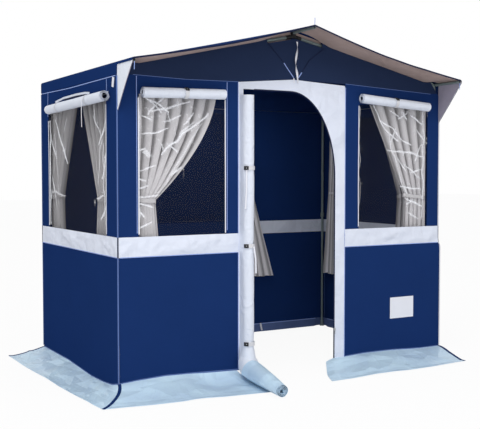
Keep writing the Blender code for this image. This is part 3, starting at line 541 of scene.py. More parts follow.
@dataclass(frozen=True)
class WovenWebbing(Finish):
    """Polypropylene webbing with its ribs across."""

    rib: float = 0.0022

    def dress(self, tree: Tree, shader: Any) -> None:
        """Ribs on the strip's own metres, 2.2 mm apart, as on 25 mm webbing.

        Args:
            tree: Node tree of the material.
            shader: Its shader.
        """
        node = partial(add_node, tree)
        uv = node("UVMap", uv_map="Cloth")
        rib = node("TexWave", {"Vector": uv, "Scale": WAVE_METRE / self.rib, "Distortion": 0.3}, "Fac",
                   wave_type="BANDS", bands_direction="DIAGONAL")
        tree.links.new(node("Bump", {"Height": rib, "Distance": 0.0003}), shader.inputs["Normal"])
        tree.links.new(add_blend(tree, rib, shade(self.colour, 0.86), self.colour),
                       shader.inputs["Base Color"])


@dataclass(frozen=True)
class HardFinish(Finish):
    """Painted, plated or moulded surface with a fine grain and slight wear."""

    metallic: float = 0.0
    grain: float = 0.0015
    grain_height: float = 0.00008
    wear: str = ""

    def dress(self, tree: Tree, shader: Any) -> None:
        """Grain as bump and roughness, and worn spots where a wear colour is given.

        Args:
            tree: Node tree of the material.
            shader: Its shader.
        """
        node = partial(add_node, tree)
        place = node("TexCoord", out="Object")
        grain = node("TexNoise", {"Vector": place, "Scale": 1 / self.grain, "Detail": 2.0})
        tree.links.new(node("Bump", {"Height": grain, "Distance": self.grain_height}),
                       shader.inputs["Normal"])
        broad = node("TexNoise", {"Vector": place, "Scale": 14.0, "Detail": 4.0, "Roughness": 0.7})
        gloss = node("MapRange",
                     {"Value": broad, "To Min": self.roughness - 0.1, "To Max": self.roughness + 0.12})
        tree.links.new(gloss, shader.inputs["Roughness"])
        spots = node("MapRange", {"Value": broad, "From Min": 0.60, "From Max": 0.72})
        tint = add_blend(tree, spots, self.colour, self.wear or shade(self.colour, 0.85))
        tree.links.new(tint, shader.inputs["Base Color"])
        shader.inputs["Metallic"].default_value = self.metallic


# Coated 190T polyester of the walls and roof: matt, deep navy, a little streaky.
NAVY = CoatedCloth("navy coated polyester", "1A3264", 0.62, Slot.NAVY, crumple=0.0004, mottle=0.04,
                   specular=0.0)
# The gable is the walls' navy cloth, painted darker and greyer as shade under the visor.
GABLE_PAINTED_SHADE = CoatedCloth("navy gable polyester, painted shade", "26324E", 0.75, Slot.NAVY, crumple=0.0004, mottle=0.04,
                    specular=0.0)
# White coated polyester of the band and the surround: soft grey crumples and angular creases.
WHITE = CoatedCloth("white coated polyester", "DCE2F0", 0.5, Slot.WHITE, crumple=0.0030, crumple_scale=4.5,
                    mottle=0.03, specular=0.25, facets=0.010)
# The rolled door and covers show the white back of their cloth.
ROLLED = CoatedCloth("white rolled polyester", "DCE2EE", 0.5, Slot.WHITE, crumple=0.0025, crumple_scale=9.0,
                     mottle=0.05, specular=0.25)
# Unbleached polyester cotton under the visor.
LINING = CoatedCloth("pale visor lining", "A8958F", 0.8, Slot.LINING, crumple=0.0022, crumple_scale=6.0,
                     mottle=0.12)
WING = CoatedCloth("white wing polyester", "E2E8F2", 0.6, Slot.WHITE, crumple=0.0015, mottle=0.03)
# Painted shade: grey sheets laid just inside the white wings stand for their shaded inner sides.
WING_PAINTED_SHADE = CoatedCloth("grey wing painted shade", "A39EAF", 0.8, Slot.LINING, crumple=0.0015, mottle=0.06)
# Thin light blue PVC-coated sheet of the skirt: slightly glossy, with sharp creases.
SKIRT = CoatedCloth("light blue skirt PVC", "C4DEFF", 0.40, Slot.SKIRT, crumple=0.0016, crumple_scale=3.6,
                    mottle=0.10, specular=0.35, facets=0.016)
# Painted shade: the skirt's inner edge, seen in the dark cabin, has the light blue PVC darkened to slate.
SKIRT_PAINTED_SHADE = CoatedCloth("skirt inner edge painted shade", "566894", 0.6, Slot.SKIRT, crumple=0.0020,
                         crumple_scale=6.0, mottle=0.15)
# Voile-like curtain cloth: very matt, with painted shade darkening its fold valleys.
CURTAIN = CoatedCloth("pale grey curtain cloth", "E9E7EA", 0.9, Slot.CURTAIN, crumple=0.0008,
                      crumple_scale=14.0, mottle=0.05, fold_shade=0.62)
FILM = ClearFilm("clear window PVC", "F4F6FA", 0.12, Slot.FILM)
# The side film lets less through and is tinted darker, as painted shade on the side window's curtains.
SIDE_FILM_PAINTED_SHADE = ClearFilm("side window PVC with painted shade", "F4F6FA", 0.12, Slot.FILM, base_alpha=0.22)
WEBBING = WovenWebbing("white polypropylene webbing", "E6E7EC", 0.75, Slot.WEBBING)
PIPING = CoatedCloth("slate blue piping", "5A70A4", 0.5, Slot.NAVY, crumple=0.0, mottle=0.08)
PALE_PIPING = CoatedCloth("pale blue piping", "90A6DE", 0.5, Slot.WEBBING, crumple=0.0, mottle=0.10)
NAVY_TAPE = CoatedCloth("dark navy binding tape", "131C3A", 0.6, Slot.NAVY, crumple=0.0, mottle=0.08)
WHITE_TAPE = CoatedCloth("white binding tape", "E6E8F0", 0.6, Slot.WEBBING, crumple=0.0, mottle=0.03)
# Powder coated steel tube: grey green, low gloss, paler where the legs rub.
STEEL = HardFinish("powder coated steel", "7C8A8A", 0.42, Slot.STEEL, metallic=0.15, wear="93A0A0")
BRIGHT_STEEL = HardFinish("zinc plated steel", "B4B8BC", 0.32, Slot.ZINC, metallic=1.0, wear="9EA3A8")
PLASTIC = HardFinish("black moulded nylon", "17181B", 0.42, Slot.PLASTIC, grain=0.0012, grain_height=0.00012)


# Sheets


def apply_modifiers(piece: Piece) -> None:
    """Applies all modifiers of a piece.

    Args:
        piece: The piece.
    """
    bpy.ops.object.select_all(action="DESELECT")
    piece.select_set(True)
    bpy.context.view_layer.objects.active = piece
    for modifier in list(piece.modifiers):
        bpy.ops.object.modifier_apply(modifier=modifier.name)
    piece.select_set(False)


def quad_normals(points: Array) -> Array:
    """Area vectors of the quads of a grid of points."""
    return 0.5 * np.cross(points[1:, 1:] - points[:-1, :-1], points[1:, :-1] - points[:-1, 1:])


def grid_area(points: Array) -> float:
    """Area of a grid of points."""
    return float(np.linalg.norm(quad_normals(points), axis=-1).sum())


@dataclass
class Sheet:
    """A grid of points in cloth, film or tape, which becomes a closed piece with its thickness."""

    name: str
    points: Array
    uv: Array
    finish: Finish
    body: str = "shelter"
    slot: Slot | None = None
    thickness: float = TENT.cloth
    lie: Lie = Lie.BEHIND
    toward: Any = None
    probe: tuple[int, int] | None = None
    keep: Array | None = None
    attribute: Array | None = None
    flat: tuple[float, float] | None = None
    held: str = "stretched"
    rests_on: Sequence[str] = ()
    replaces: Sequence[str] = ()

    def build(self) -> Piece:
        """Returns:
            The piece.
        """
        rows, columns = self.points.shape[:2]
        index = np.arange(rows * columns).reshape(rows, columns)
        quads = stack(index[:-1, :-1], index[:-1, 1:], index[1:, 1:], index[1:, :-1])
        normals = quad_normals(self.points)
        areas = np.linalg.norm(normals, axis=-1)
        if self.keep is not None:
            quads, areas = quads[self.keep], areas[self.keep]
        if self.toward is not None:
            chosen = normals[self.probe] if self.probe else normals.reshape(-1, 3).sum(axis=0)
            if float(np.dot(chosen, -np.asarray(self.toward))) < 0:
                quads = quads[..., ::-1]
        quads = quads.reshape(-1, 4)
        used, faces = np.unique(quads, return_inverse=True)
        mesh = bpy.data.meshes.new(self.name)
        mesh.from_pydata(self.points.reshape(-1, 3)[used].tolist(), [], faces.reshape(-1, 4).tolist())
        layer = mesh.uv_layers.new(name="Cloth")
        layer.data.foreach_set("uv", self.uv.reshape(-1, 2)[quads.reshape(-1)].astype(np.float32).ravel())
        if self.attribute is not None:
            marks = mesh.attributes.new("crease", "FLOAT", "POINT")
            marks.data.foreach_set("value", self.attribute.reshape(-1)[used].astype(np.float32))
        piece = bpy.data.objects.new(self.name, mesh)
        bpy.context.scene.collection.objects.link(piece)
        mesh.materials.append(self.finish.material())
        solid = piece.modifiers.new("thickness", "SOLIDIFY")
        solid.thickness, solid.offset = self.thickness, self.lie.value
        solid.use_even_offset = False
        apply_modifiers(piece)
        piece.data.shade_smooth()
        piece.data.set_sharp_from_angle(angle=math.radians(55))
        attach(piece, self.body)
        if self.replaces:
            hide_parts(*self.replaces)
        width, length = self.flat or self.spans()
        list(self.rests_on)
        log.info("made %s, %d faces", self.name, len(piece.data.polygons))
        return piece

    def spans(self) -> tuple[float, float]:
        """Width and length of the flat cloth that the piece is cut from, at least 10 mm wide."""
        low, high = self.uv.reshape(-1, 2).min(axis=0), self.uv.reshape(-1, 2).max(axis=0)
        return max(0.010, float(high[0] - low[0])), max(0.010, float(high[1] - low[1]))


def bulge(points: Array) -> Array:
    """How far the cloth below the band stands out at the right of the tent."""
    return 0.020 * smooth(points[..., 0], 1.10, TENT.right) * (1 - smooth(points[..., 2], 0.79, 0.84))


def wall_grid(wall: Wall, alongs: Array, heights: Array, out: float | Array = 0.0) -> tuple[Array, Array]:
    """Points and cloth metres of a grid on a wall.

    Args:
        wall: The wall.
        alongs: Columns, or a full array of distances along.
        heights: Rows, or a full array of heights.
        out: Distance out of the wall.

    Returns:
        The points and the UV coordinates.
    """
    if alongs.ndim == 1:
        alongs, heights = np.meshgrid(alongs, heights)
    sink = (seam_height(wall, alongs) - TENT.skirt_seam) * (1 - smooth(heights, TENT.skirt_seam, 0.30))
    points = wall.place(alongs, out + wall_relief(wall, alongs, heights), heights + sink)
    points[..., 0] += bulge(points)
    return points, stack(alongs, heights)


def window_hole(columns: Array, rows: Array, window: Window) -> Array:
    """Cuts a window opening out of a wall's grid.

    Args:
        columns: Columns of the grid.
        rows: Rows of the grid.
        window: The window.

    Returns:
        Which of the grid's quads stay.
    """
    along, height = middles(columns), middles(rows)
    inside = (along > window.start) & (along < window.end)
    return ~(((height > TENT.band_top) & (height < window.top))[:, None] & inside[None, :])


def spread_up(height: Array, low: float, high: float, top: Array) -> Array:
    """Heights whose rows from low to high are spread evenly up to an edge, given for each point."""
    over = np.clip((height - low) / (high - low), 0, 1)
    return np.where(height > low, low + (top - low) * over, height)


def strip(name: str, path: Array, across: Array, width: float, finish: Finish, **extra: Any) -> Piece:
    """A narrow tape along a path.

    Args:
        name: Name of the piece.
        path: Points along the middle of the tape.
        across: Unit vectors across it, one or one for each point.
        width: Width of the tape.
        finish: Its finish.
        extra: More fields of the sheet.

    Returns:
        The piece.
    """
    path = np.asarray(path, float)
    across = np.broadcast_to(np.asarray(across, float), path.shape)
    points = np.stack([path - across * width / 2, path, path + across * width / 2])
    places = np.array([[0.0], [width / 2], [width]])
    uv = stack(run_length(path), places)
    return Sheet(name, points, uv, finish, **{"thickness": 0.001, **extra}).build()


def lay_strip(name: str, wall: Wall, marks: Sequence, out: float, width: float, finish: Finish) -> Piece:
    """A narrow strip sewn flat on a wall.

    Args:
        name: Name of the piece.
        wall: The wall.
        marks: Points of its middle line as (along, height).
        out: Distance out of the wall's cloth.
        width: Width of the strip.
        finish: Its finish.

    Returns:
        The piece.
    """
    marks = np.array(marks, float)
    run = run_length(marks)
    places = ticks(0.025, 0.0, float(run[-1]))
    along, height = np.interp(places, run, marks[:, 0]), np.interp(places, run, marks[:, 1])
    path = wall.place(along, out + wall_relief(wall, along, height), height)
    path[:, 0] += bulge(path)
    across = unit(np.cross(wall.outward, np.gradient(path, axis=0)))
    return strip(name, path, across, width, finish, toward=wall.outward, thickness=0.0008,
                 rests_on=[f"{wall.value}_wall"])


# Roof


@dataclass
class Roof:
    """Roof sheet with its visor, the pale cloth under the visor and the two wings."""

    step: float = 0.030
    visor_step: float = 0.020
    rear_lap: float = 0.008
    sag_left: float = 0.015
    sag_right: float = 0.024
    lining_drop: float = 0.030
    edge_steps: int = 7
    slope_steps: int = 46
    # Sag between the poles: its steady part, its ripple and its reach from an end
    slack: float = 0.003
    slack_ripple: float = 0.0025
    slack_reach: float = 0.18
    wing_curl: float = 0.006
    wing_turn: float = 0.9
    wing_lap: float = 0.006
    wing_cloth: float = 0.0015
    # Gap between a wing and the sheet of painted shade inside it
    wing_lining_in: float = 0.0030
    cord: float = 0.045
    cord_inset: float = 0.012
    cord_heights: tuple[float, float] = (1.914, 2.266)

    @property
    def tip(self) -> float:
        """Place of the visor's front edge."""
        return TENT.front - TENT.visor

    def half(self, depth: float) -> Array:
        """Half of the section, from the eave to the ridge.

        Args:
            depth: Depth under the outer face.

        Returns:
            Points as (run from the eave, height, share up the slope).
        """
        radius = TENT.roof_edge_r - depth
        angles = math.pi - (math.pi / 2 - TENT.roof_slope) * np.linspace(0, 1, self.edge_steps + 1)
        curve = stack(TENT.eave_axis_in + radius * np.cos(angles), TENT.eave_axis_z + radius * np.sin(angles),
                      0.0)
        share = np.linspace(0, 1, self.slope_steps + 1)[1:]
        peak = TENT.ridge_top - depth / math.cos(TENT.roof_slope)
        run = curve[-1, 0] + (TENT.width / 2 - curve[-1, 0]) * share
        height = curve[-1, 1] + (peak - curve[-1, 1]) * share
        return np.concatenate([curve, stack(run, height, share)])

    def wings(self) -> tuple:
        """Each wing's label, place across the tent and way out."""
        inset = self.half(TENT.cloth + TENT.fit)[0, 0]
        return ("left", TENT.left + inset, -1.0), ("right", TENT.right - inset, 1.0)

    def rows(self, ys: Array, depth: float, hems: Sequence[Sequence[float]]) -> tuple[Array, Array]:
        """Points of the roof at a depth, with the turned-down edges.

        Args:
            ys: Places of the rows.
            depth: Depth under the outer face.
            hems: Heights of the turned-down edge's points, for each row.

        Returns:
            The points and the cloth metres.
        """
        half = self.half(depth)
        hang = np.sin(math.pi * half[:, 2])
        rows, maps = [], []
        for y, hem in zip(ys, hems):
            reach = max(TENT.front - y, 0.0) / TENT.visor
            loose = smooth(min(abs(y - TENT.front), abs(y - TENT.rear)), 0.0, self.slack_reach) * hang
            sides = []
            for x, way, sag, away in ((TENT.left, 1.0, self.sag_left, 0),
                                      (TENT.right, -1.0, self.sag_right, 20)):
                ripple = CLOTH_NOISE.layered(half[:, 0] * 4 + away, np.full(len(half), y * 4))
                droop = loose * (self.slack + self.slack_ripple * ripple)
                heights = half[:, 1] - sag * reach**2 * hang - droop
                sides.append([(x + way * half[0, 0], y, z) for z in hem]
                             + [(x + way * run, y, z) for run, z in zip(half[:, 0], heights)])
            line = np.array(sides[0] + sides[1][-2::-1])
            rows.append(line)
            run = run_length(line)
            maps.append(stack(run - run[-1] / 2, y))
        return np.array(rows), np.array(maps)

    def make_roof(self) -> None:
        """The navy roof sheet over cabin and visor."""
        visor = ticks(self.visor_step, self.tip, TENT.front - 2 * TENT.cloth)
        cabin = ticks(self.step, TENT.front, TENT.rear + self.rear_lap)
        hems = [[TENT.eave_axis_z - 2 * TENT.cloth]] * len(visor) + [[TENT.eave_seam]] * len(cabin)
        points, uv = self.rows(np.concatenate([visor, cabin]), 0.0, hems)
        Sheet("roof_cloth", points, uv, NAVY, toward=(0, 0, 1),
              rests_on=["ridge_pole", "eave_pole_left", "eave_pole_right"], replaces=["roof_panel"]).build()

    def make_visor(self) -> None:
        """Pale underside of the visor, the white wings at its ends and a grey sheet of painted shade inside each
        wing.
        """
        depth = TENT.cloth + TENT.fit
        back = TENT.front - TENT.fit
        ys = ticks(self.visor_step, self.tip, back)
        points, uv = self.rows(ys, depth, [[] for _ in ys])
        # The lining is sewn to the gable lower than the roof, save at the ridge joint and the corners
        away = np.abs(points[..., 0] - (TENT.left + TENT.right) / 2)
        drop = smooth(away, 0.10, 0.30) * smooth(TENT.width / 2 - away, 0.03, 0.15)
        reach = smooth(ys, self.tip, back)[:, None]
        folds = CREASE_NOISE.creased(points[..., 0] * 5, points[..., 1] * 9) - 0.4
        points[..., 2] -= drop * (self.lining_drop * reach + 0.005 * np.sin(math.pi * reach) * (1 + folds))
        Sheet("visor_underside", points, uv, LINING, toward=(0, 0, 1),
              rests_on=["visor_arm_left", "visor_arm_ridge", "visor_arm_right"],
              replaces=["visor_lining"]).build()
        across, down = np.meshgrid(np.linspace(0, 1, 15), np.linspace(0, 1, 13))
        top = TENT.eave_axis_z - 0.0002
        low = top - self.wing_lap - (top - self.wing_lap - TENT.wing_bottom) * across
        z = top + (low - top) * down
        y = self.tip + (back - TENT.front + TENT.visor) * across
        uv = stack(y, z)
        for label, x, way in self.wings():
            curl = way * self.wing_curl * np.sin(math.pi * across) * down
            curl = curl * np.sin(math.pi * down * self.wing_turn)
            points = stack(x + curl - way * 0.0003, y, z)
            Sheet(f"visor_wing_{label}", points, uv, WING, toward=(way, 0, 0), held="hung",
                  thickness=self.wing_cloth, rests_on=[f"visor_arm_{label}"]).build()
            # Grey sheet of painted shade on the inner side of the wing
            Sheet(f"wing_lining_{label}", points - np.array([way * self.wing_lining_in, 0.0, 0.0]), uv,
                  WING_PAINTED_SHADE, toward=(-way, 0, 0), held="hung", thickness=0.0008,
                  rests_on=[f"visor_wing_{label}"]).build()

    def make_bindings(self) -> None:
        """Dark binding along the visor's front edge, and a binding down the slanted edge of both wings."""
        edge = self.rows(np.array([self.tip]), 0.0, [[]])[0][0]
        strip("visor_binding", edge + np.array([0.0, -0.0012, -0.0035]), (0, 0, 1), 0.010, NAVY_TAPE,
              toward=(0, -1, 0), rests_on=["roof_cloth"])
        share = np.linspace(0, 1, 15)
        top = TENT.eave_axis_z - self.wing_lap
        across = unit(np.array([0.0, TENT.wing_bottom - top, -TENT.visor]))
        for label, x, way in self.wings():
            curl = way * self.wing_curl * np.sin(math.pi * share) * math.sin(math.pi * self.wing_turn)
            path = stack(x + curl + way * 0.0006, self.tip + TENT.visor * share,
                         top + (TENT.wing_bottom - top) * share)
            strip(f"wing_binding_{label}", path - across * 0.003, across, 0.009,
                  NAVY_TAPE if way > 0 else WHITE_TAPE, slot=Slot.NAVY, toward=(way, 0, 0), thickness=0.0028,
                  rests_on=[f"visor_wing_{label}"])

    def make_cords(self) -> None:
        """Thin cord ends that stand up from the visor's corners and its peak."""
        rise = np.linspace(0.0, self.cord, 7)
        low, high = self.cord_heights
        for label, x, z in (("left", TENT.left + self.cord_inset, low),
                            ("ridge", (TENT.left + TENT.right) / 2, high),
                            ("right", TENT.right - self.cord_inset, low)):
            path = stack(x + 0.05 * rise * np.sin(rise * 60), self.tip + 0.004, z + rise)
            strip(f"cord_end_{label}", path, (1, 0, 0), 0.0040, PALE_PIPING, thickness=0.0012,
                  lie=Lie.CENTRED, toward=(0, -1, 0), held="hung", rests_on=["roof_cloth"])

    def build(self) -> None:
        """Makes the roof's pieces."""
        self.make_roof()
        self.make_visor()
        self.make_bindings()
        self.make_cords()


# Front wall


@dataclass
class FrontWall:
    """Front wall on both sides of the door, the gable and the white door surround."""

    step: float = 0.022
    outline_step: float = 0.020
    corner_drop: float = 0.022
    corner_run: float = 0.095
    corner_turn: float = 0.48
    head_middle: float = 1.26
    # Height at which the grid ends before its rows are spread up to the seam
    grid_top: float = 2.0
    gable_start: float = 0.0225
    gable_fade: float = 0.06
    crumple: float = 0.004
    surround_crease: float = 0.016
    vent_half: float = 0.215
    # Most that the vent's cut-out takes of the gable, and the share of rows above it
    vent_most: float = 0.9
    vent_rows: float = 0.2
    backing_in: float = 0.030
    backing_lap: float = 0.015
    zip_out: float = 0.0022
    zip_width: float = 0.010
    pole_half: float = 0.018
    sleeve_r: float = 0.0139
    seam_marks: tuple = ((0.0, 1.907), (0.121, 1.910), (0.452, 1.900), (0.820, 1.904), (1.239, 1.940),
                         (1.658, 1.932), (2.418, 1.899), (2.50, 1.905))
    surround_tops: tuple[float, float, float] = (1.904, 1.940, 1.919)
    # Number of the outline's point where the zip starts, just right of the left jamb
    zip_start: int = 94

    def surround_top(self, along: Array) -> Array:
        """Height of the surround's upper edge."""
        middle = (TENT.surround_left + TENT.surround_right) / 2
        return np.interp(along, [TENT.surround_left, middle, TENT.surround_right], self.surround_tops)

    def roof_under(self, along: Array) -> Array:
        """Height of the underside of the roof over the wall.

        Args:
            along: Distances along the wall.

        Returns:
            The heights.
        """
        run = np.minimum(along, TENT.width - along)
        under = TENT.ridge_top - 2 * TENT.cloth / math.cos(TENT.roof_slope)
        return under - (TENT.width / 2 - run) * math.tan(TENT.roof_slope)

    def corner_top(self, along: Array) -> Array:
        """Height of the cut-off upper corners.

        Args:
            along: Distances along the wall.

        Returns:
            The heights.
        """
        run = np.minimum(along, TENT.width - along)
        low = TENT.eave_seam - self.corner_drop
        high = float(self.roof_under(np.array(self.corner_run)))
        return low + (high - low) * (run - TENT.side) / (self.corner_run - TENT.side)

    def vent_top(self, along: Array) -> Array:
        """Height of the gable's cut-out round the ridge joint."""
        drop = TENT.rafter_peak - self.sleeve_r - 2 * TENT.cloth
        return drop - np.abs(along - TENT.width / 2) * math.tan(TENT.rafter_slope)

    def seam(self, along: Array) -> Array:
        """Height of the seam between the wall and the gable."""
        return np.interp(along, *zip(*self.seam_marks))

    def make_panels(self) -> None:
        """Wall cloth on both sides of the door, each with its window opening."""
        for label, start, end in (("left", TENT.side, TENT.surround_left - TENT.fit),
                                  ("right", TENT.surround_right + TENT.fit, TENT.width - TENT.side)):
            window = WINDOWS[f"front_{label}"]
            columns = ticks(self.step, start, window.start, window.end, end)
            rows = ticks(self.step, TENT.skirt_seam, TENT.band_top, window.top, self.grid_top)
            along, height = np.meshgrid(columns, rows)
            top = np.minimum(self.seam(along), self.corner_top(along))
            points, uv = wall_grid(Wall.FRONT, along, spread_up(height, window.top, self.grid_top, top))
            Sheet(f"front_wall_{label}", points, uv, NAVY, toward=Wall.FRONT.outward,
                  keep=window_hole(columns, rows, window), rests_on=["rafter_front_left"],
                  replaces=["front_wall"]).build()

    def make_gable(self) -> None:
        """Gable cloth, painted darker as shade under the visor, from the seam up to the roof, cut out round the
        ridge joint.
        """
        middle = TENT.width / 2
        columns = ticks(0.016, self.gable_start, middle - self.vent_half, middle, middle + self.vent_half,
                        TENT.width - self.gable_start)
        rows = ticks(0.05, 0.0, 1.0, 1 + self.vent_rows)
        along, share = np.meshgrid(columns, rows)
        seam = np.minimum(self.seam(along), self.corner_top(along))
        top = np.minimum(self.roof_under(along), self.corner_top(along))
        notch = np.minimum(self.vent_top(along), seam + self.vent_most * (top - seam))
        height = np.where(share <= 1, seam + (notch - seam) * share,
                          notch + (top - notch) * (share - 1) / self.vent_rows)
        edge = smooth(height - seam, 0.0, self.gable_fade) * smooth(top - height, 0.0, self.gable_fade)
        out = edge * self.crumple * CLOTH_NOISE.layered(along * 3.0, height * 5.0)
        vent = np.abs(middles(columns) - middle) < self.vent_half
        keep = ~((middles(rows) > 1.0)[:, None] & vent[None, :])
        Sheet("gable", Wall.FRONT.place(along, out, height), stack(along, height), GABLE_PAINTED_SHADE,
              toward=Wall.FRONT.outward, keep=keep, rests_on=["roof_cloth"]).build()

    def make_gable_backing(self) -> None:
        """Pale cloth behind the gap that the gable leaves round the ridge joint, open for the ridge pole."""
        middle, half = TENT.width / 2, self.vent_half + 0.01
        columns = ticks(0.012, middle - half, middle - self.pole_half, middle + self.pole_half, middle + half)
        along, share = np.meshgrid(columns, np.linspace(0, 1, 7))
        low = self.vent_top(along) - self.backing_lap
        height = low + (self.roof_under(along) - 0.002 - low) * share
        keep = np.broadcast_to(np.abs(middles(columns) - middle) > self.pole_half, (6, len(columns) - 1))
        Sheet("gable_backing", Wall.FRONT.place(along, -self.backing_in, height), stack(along, height),
              LINING, probe=(3, 1), toward=Wall.FRONT.outward, thickness=0.001, keep=keep,
              rests_on=["roof_cloth"]).build()

    def opening(self) -> Array:
        """The door opening's outline.

        Returns:
            Points as (along, height), from the foot of the left jamb round to the right one's.
        """
        jamb = ticks(self.outline_step, TENT.skirt_seam, TENT.door_top)
        left = stack(TENT.door_left, jamb)
        head = ticks(self.outline_step, TENT.door_left, TENT.arch_start)[1:]
        top = stack(head, TENT.door_top)
        angles = np.linspace(math.pi / 2, 0, 41)[1:]
        arch = stack(TENT.arch_start + (TENT.door_right - TENT.arch_start) * np.cos(angles),
                     TENT.arch_spring + (TENT.door_top - TENT.arch_spring) * np.sin(angles))
        down = ticks(self.outline_step, TENT.skirt_seam, TENT.arch_spring)[-2::-1]
        right = stack(TENT.door_right, down)
        return np.concatenate([left, top, arch, right])

    def outer_edge(self, inner: Array) -> Array:
        """Points of the surround's outer edge.

        Args:
            inner: Points of the opening's outline.

        Returns:
            The point that faces each of them.
        """
        outer = inner.copy()
        jamb_points = int(np.sum(inner[:, 0] == TENT.door_left))
        for i, (along, height) in enumerate(inner):
            if i < jamb_points:
                share = (height - TENT.skirt_seam) / (TENT.door_top - TENT.skirt_seam)
                rise = self.surround_tops[0] - TENT.skirt_seam
                outer[i] = TENT.surround_left, TENT.skirt_seam + share * rise
            elif along <= TENT.arch_start and height >= TENT.door_top - 1e-9:
                share = (along - TENT.door_left) / (TENT.arch_start - TENT.door_left)
                place = TENT.surround_left + (self.head_middle - TENT.surround_left) * share
                outer[i] = place, self.surround_top(place)
            elif height > TENT.arch_spring:
                angle = math.atan2((height - TENT.arch_spring) / (TENT.door_top - TENT.arch_spring),
                                   (along - TENT.arch_start) / (TENT.door_right - TENT.arch_start))
                turn = (math.pi / 2 - angle) / (math.pi / 2)
                if turn <= self.corner_turn:
                    reach = TENT.surround_right - self.head_middle
                    place = self.head_middle + reach * turn / self.corner_turn
                    outer[i] = place, self.surround_top(place)
                else:
                    fall = (turn - self.corner_turn) / (1 - self.corner_turn)
                    high = self.surround_tops[2]
                    outer[i] = TENT.surround_right, high + (TENT.arch_spring - high) * fall
            else:
                outer[i] = TENT.surround_right, height
        return outer

    def make_surround(self) -> None:
        """White frame of the door, one strip wide, with soft creases at its upper corner."""
        inner = self.opening()
        outer = self.outer_edge(inner)
        shares = np.linspace(0, 1, 8)[:, None]
        along = inner[None, :, 0] + (outer[None, :, 0] - inner[None, :, 0]) * shares
        height = inner[None, :, 1] + (outer[None, :, 1] - inner[None, :, 1]) * shares
        width = np.linalg.norm(outer - inner, axis=1)[None, :]
        mask = np.sin(math.pi * shares) * smooth(width, 0.03, 0.16)
        out = mask * self.surround_crease * (CREASE_NOISE.creased(along * 3.2 + 1.0, height * 2.6) - 0.35)
        out = out + mask * self.crumple * CLOTH_NOISE.layered(along * 6, height * 6)
        points = Wall.FRONT.place(along, out, height)
        run = float(np.linalg.norm(np.diff((inner + outer) / 2, axis=0), axis=1).sum())
        Sheet("door_surround_cloth", points, stack(along, height), WHITE, toward=Wall.FRONT.outward,
              flat=(grid_area(points) / run, run), rests_on=["front_wall_left", "front_wall_right"],
              replaces=["door_surround"]).build()

    def make_zip(self) -> None:
        """Dark zip tape round the door opening, on the inner edge of the white surround."""
        line = self.opening()[self.zip_start :]
        heading = np.gradient(line, axis=0)
        inward = unit(stack(heading[:, 1], -heading[:, 0]))
        line = line + inward * 0.002
        across = Wall.FRONT.place(inward[:, 0], 0.0, inward[:, 1]) - Wall.FRONT.place(0.0, 0.0, 0.0)
        strip("zip_tape", Wall.FRONT.place(line[:, 0], self.zip_out, line[:, 1]), across, self.zip_width,
              NAVY_TAPE, toward=Wall.FRONT.outward, thickness=0.0012, rests_on=["door_surround_cloth"])

    def build(self) -> None:
        """Makes the front wall's pieces."""
        self.make_panels()
        self.make_gable()
        self.make_gable_backing()
        self.make_surround()
        self.make_zip()


# Side and rear walls, band


@dataclass
class PlainWalls:
    """Left, right and rear walls, each one cloth with a window opening."""

    step: float = 0.024
    flap_lap: float = 0.028
    # Height at which the rear grid ends before its rows are spread up to the roof
    grid_top: float = 2.1

    def make_side(self, wall: Wall) -> None:
        """One side wall, up into the roof's turned-down edge.

        Args:
            wall: The wall.
        """
        window = WINDOWS[wall.value]
        columns = ticks(self.step, 0.0, window.start, window.end, TENT.depth)
        rows = ticks(self.step, TENT.skirt_seam, TENT.band_top, window.top, TENT.eave_seam + self.flap_lap)
        self.sew(window, columns, rows, *np.meshgrid(columns, rows))

    def make_rear(self) -> None:
        """The rear wall with its gable up to the roof."""
        window = WINDOWS["rear"]
        columns = ticks(self.step, TENT.side, window.start, window.end, TENT.width - TENT.side)
        columns = np.unique(np.concatenate([columns, [TENT.width / 2]]))
        rows = ticks(self.step, TENT.skirt_seam, TENT.band_top, window.top, self.grid_top)
        along, height = np.meshgrid(columns, rows)
        height = spread_up(height, window.top, self.grid_top, FrontWall().roof_under(along))
        self.sew(window, columns, rows, along, height)

    def sew(self, window: Window, columns: Array, rows: Array, along: Array, height: Array) -> None:
        """Makes the piece round its window opening.

        Args:
            window: The window.
            columns: Columns of the grid.
            rows: Rows of the grid, before any are spread.
            along: Distance along of each point.
            height: Height of each point.
        """
        points, uv = wall_grid(window.wall, along, height)
        name = f"{window.wall.value}_wall"
        Sheet(f"{name}_cloth", points, uv, NAVY, toward=window.wall.outward,
              keep=window_hole(columns, rows, window), rests_on=["roof_cloth"], replaces=[name]).build()

    def build(self) -> None:
        """Makes the three walls."""
        self.make_side(Wall.LEFT)
        self.make_side(Wall.RIGHT)
        self.make_rear()


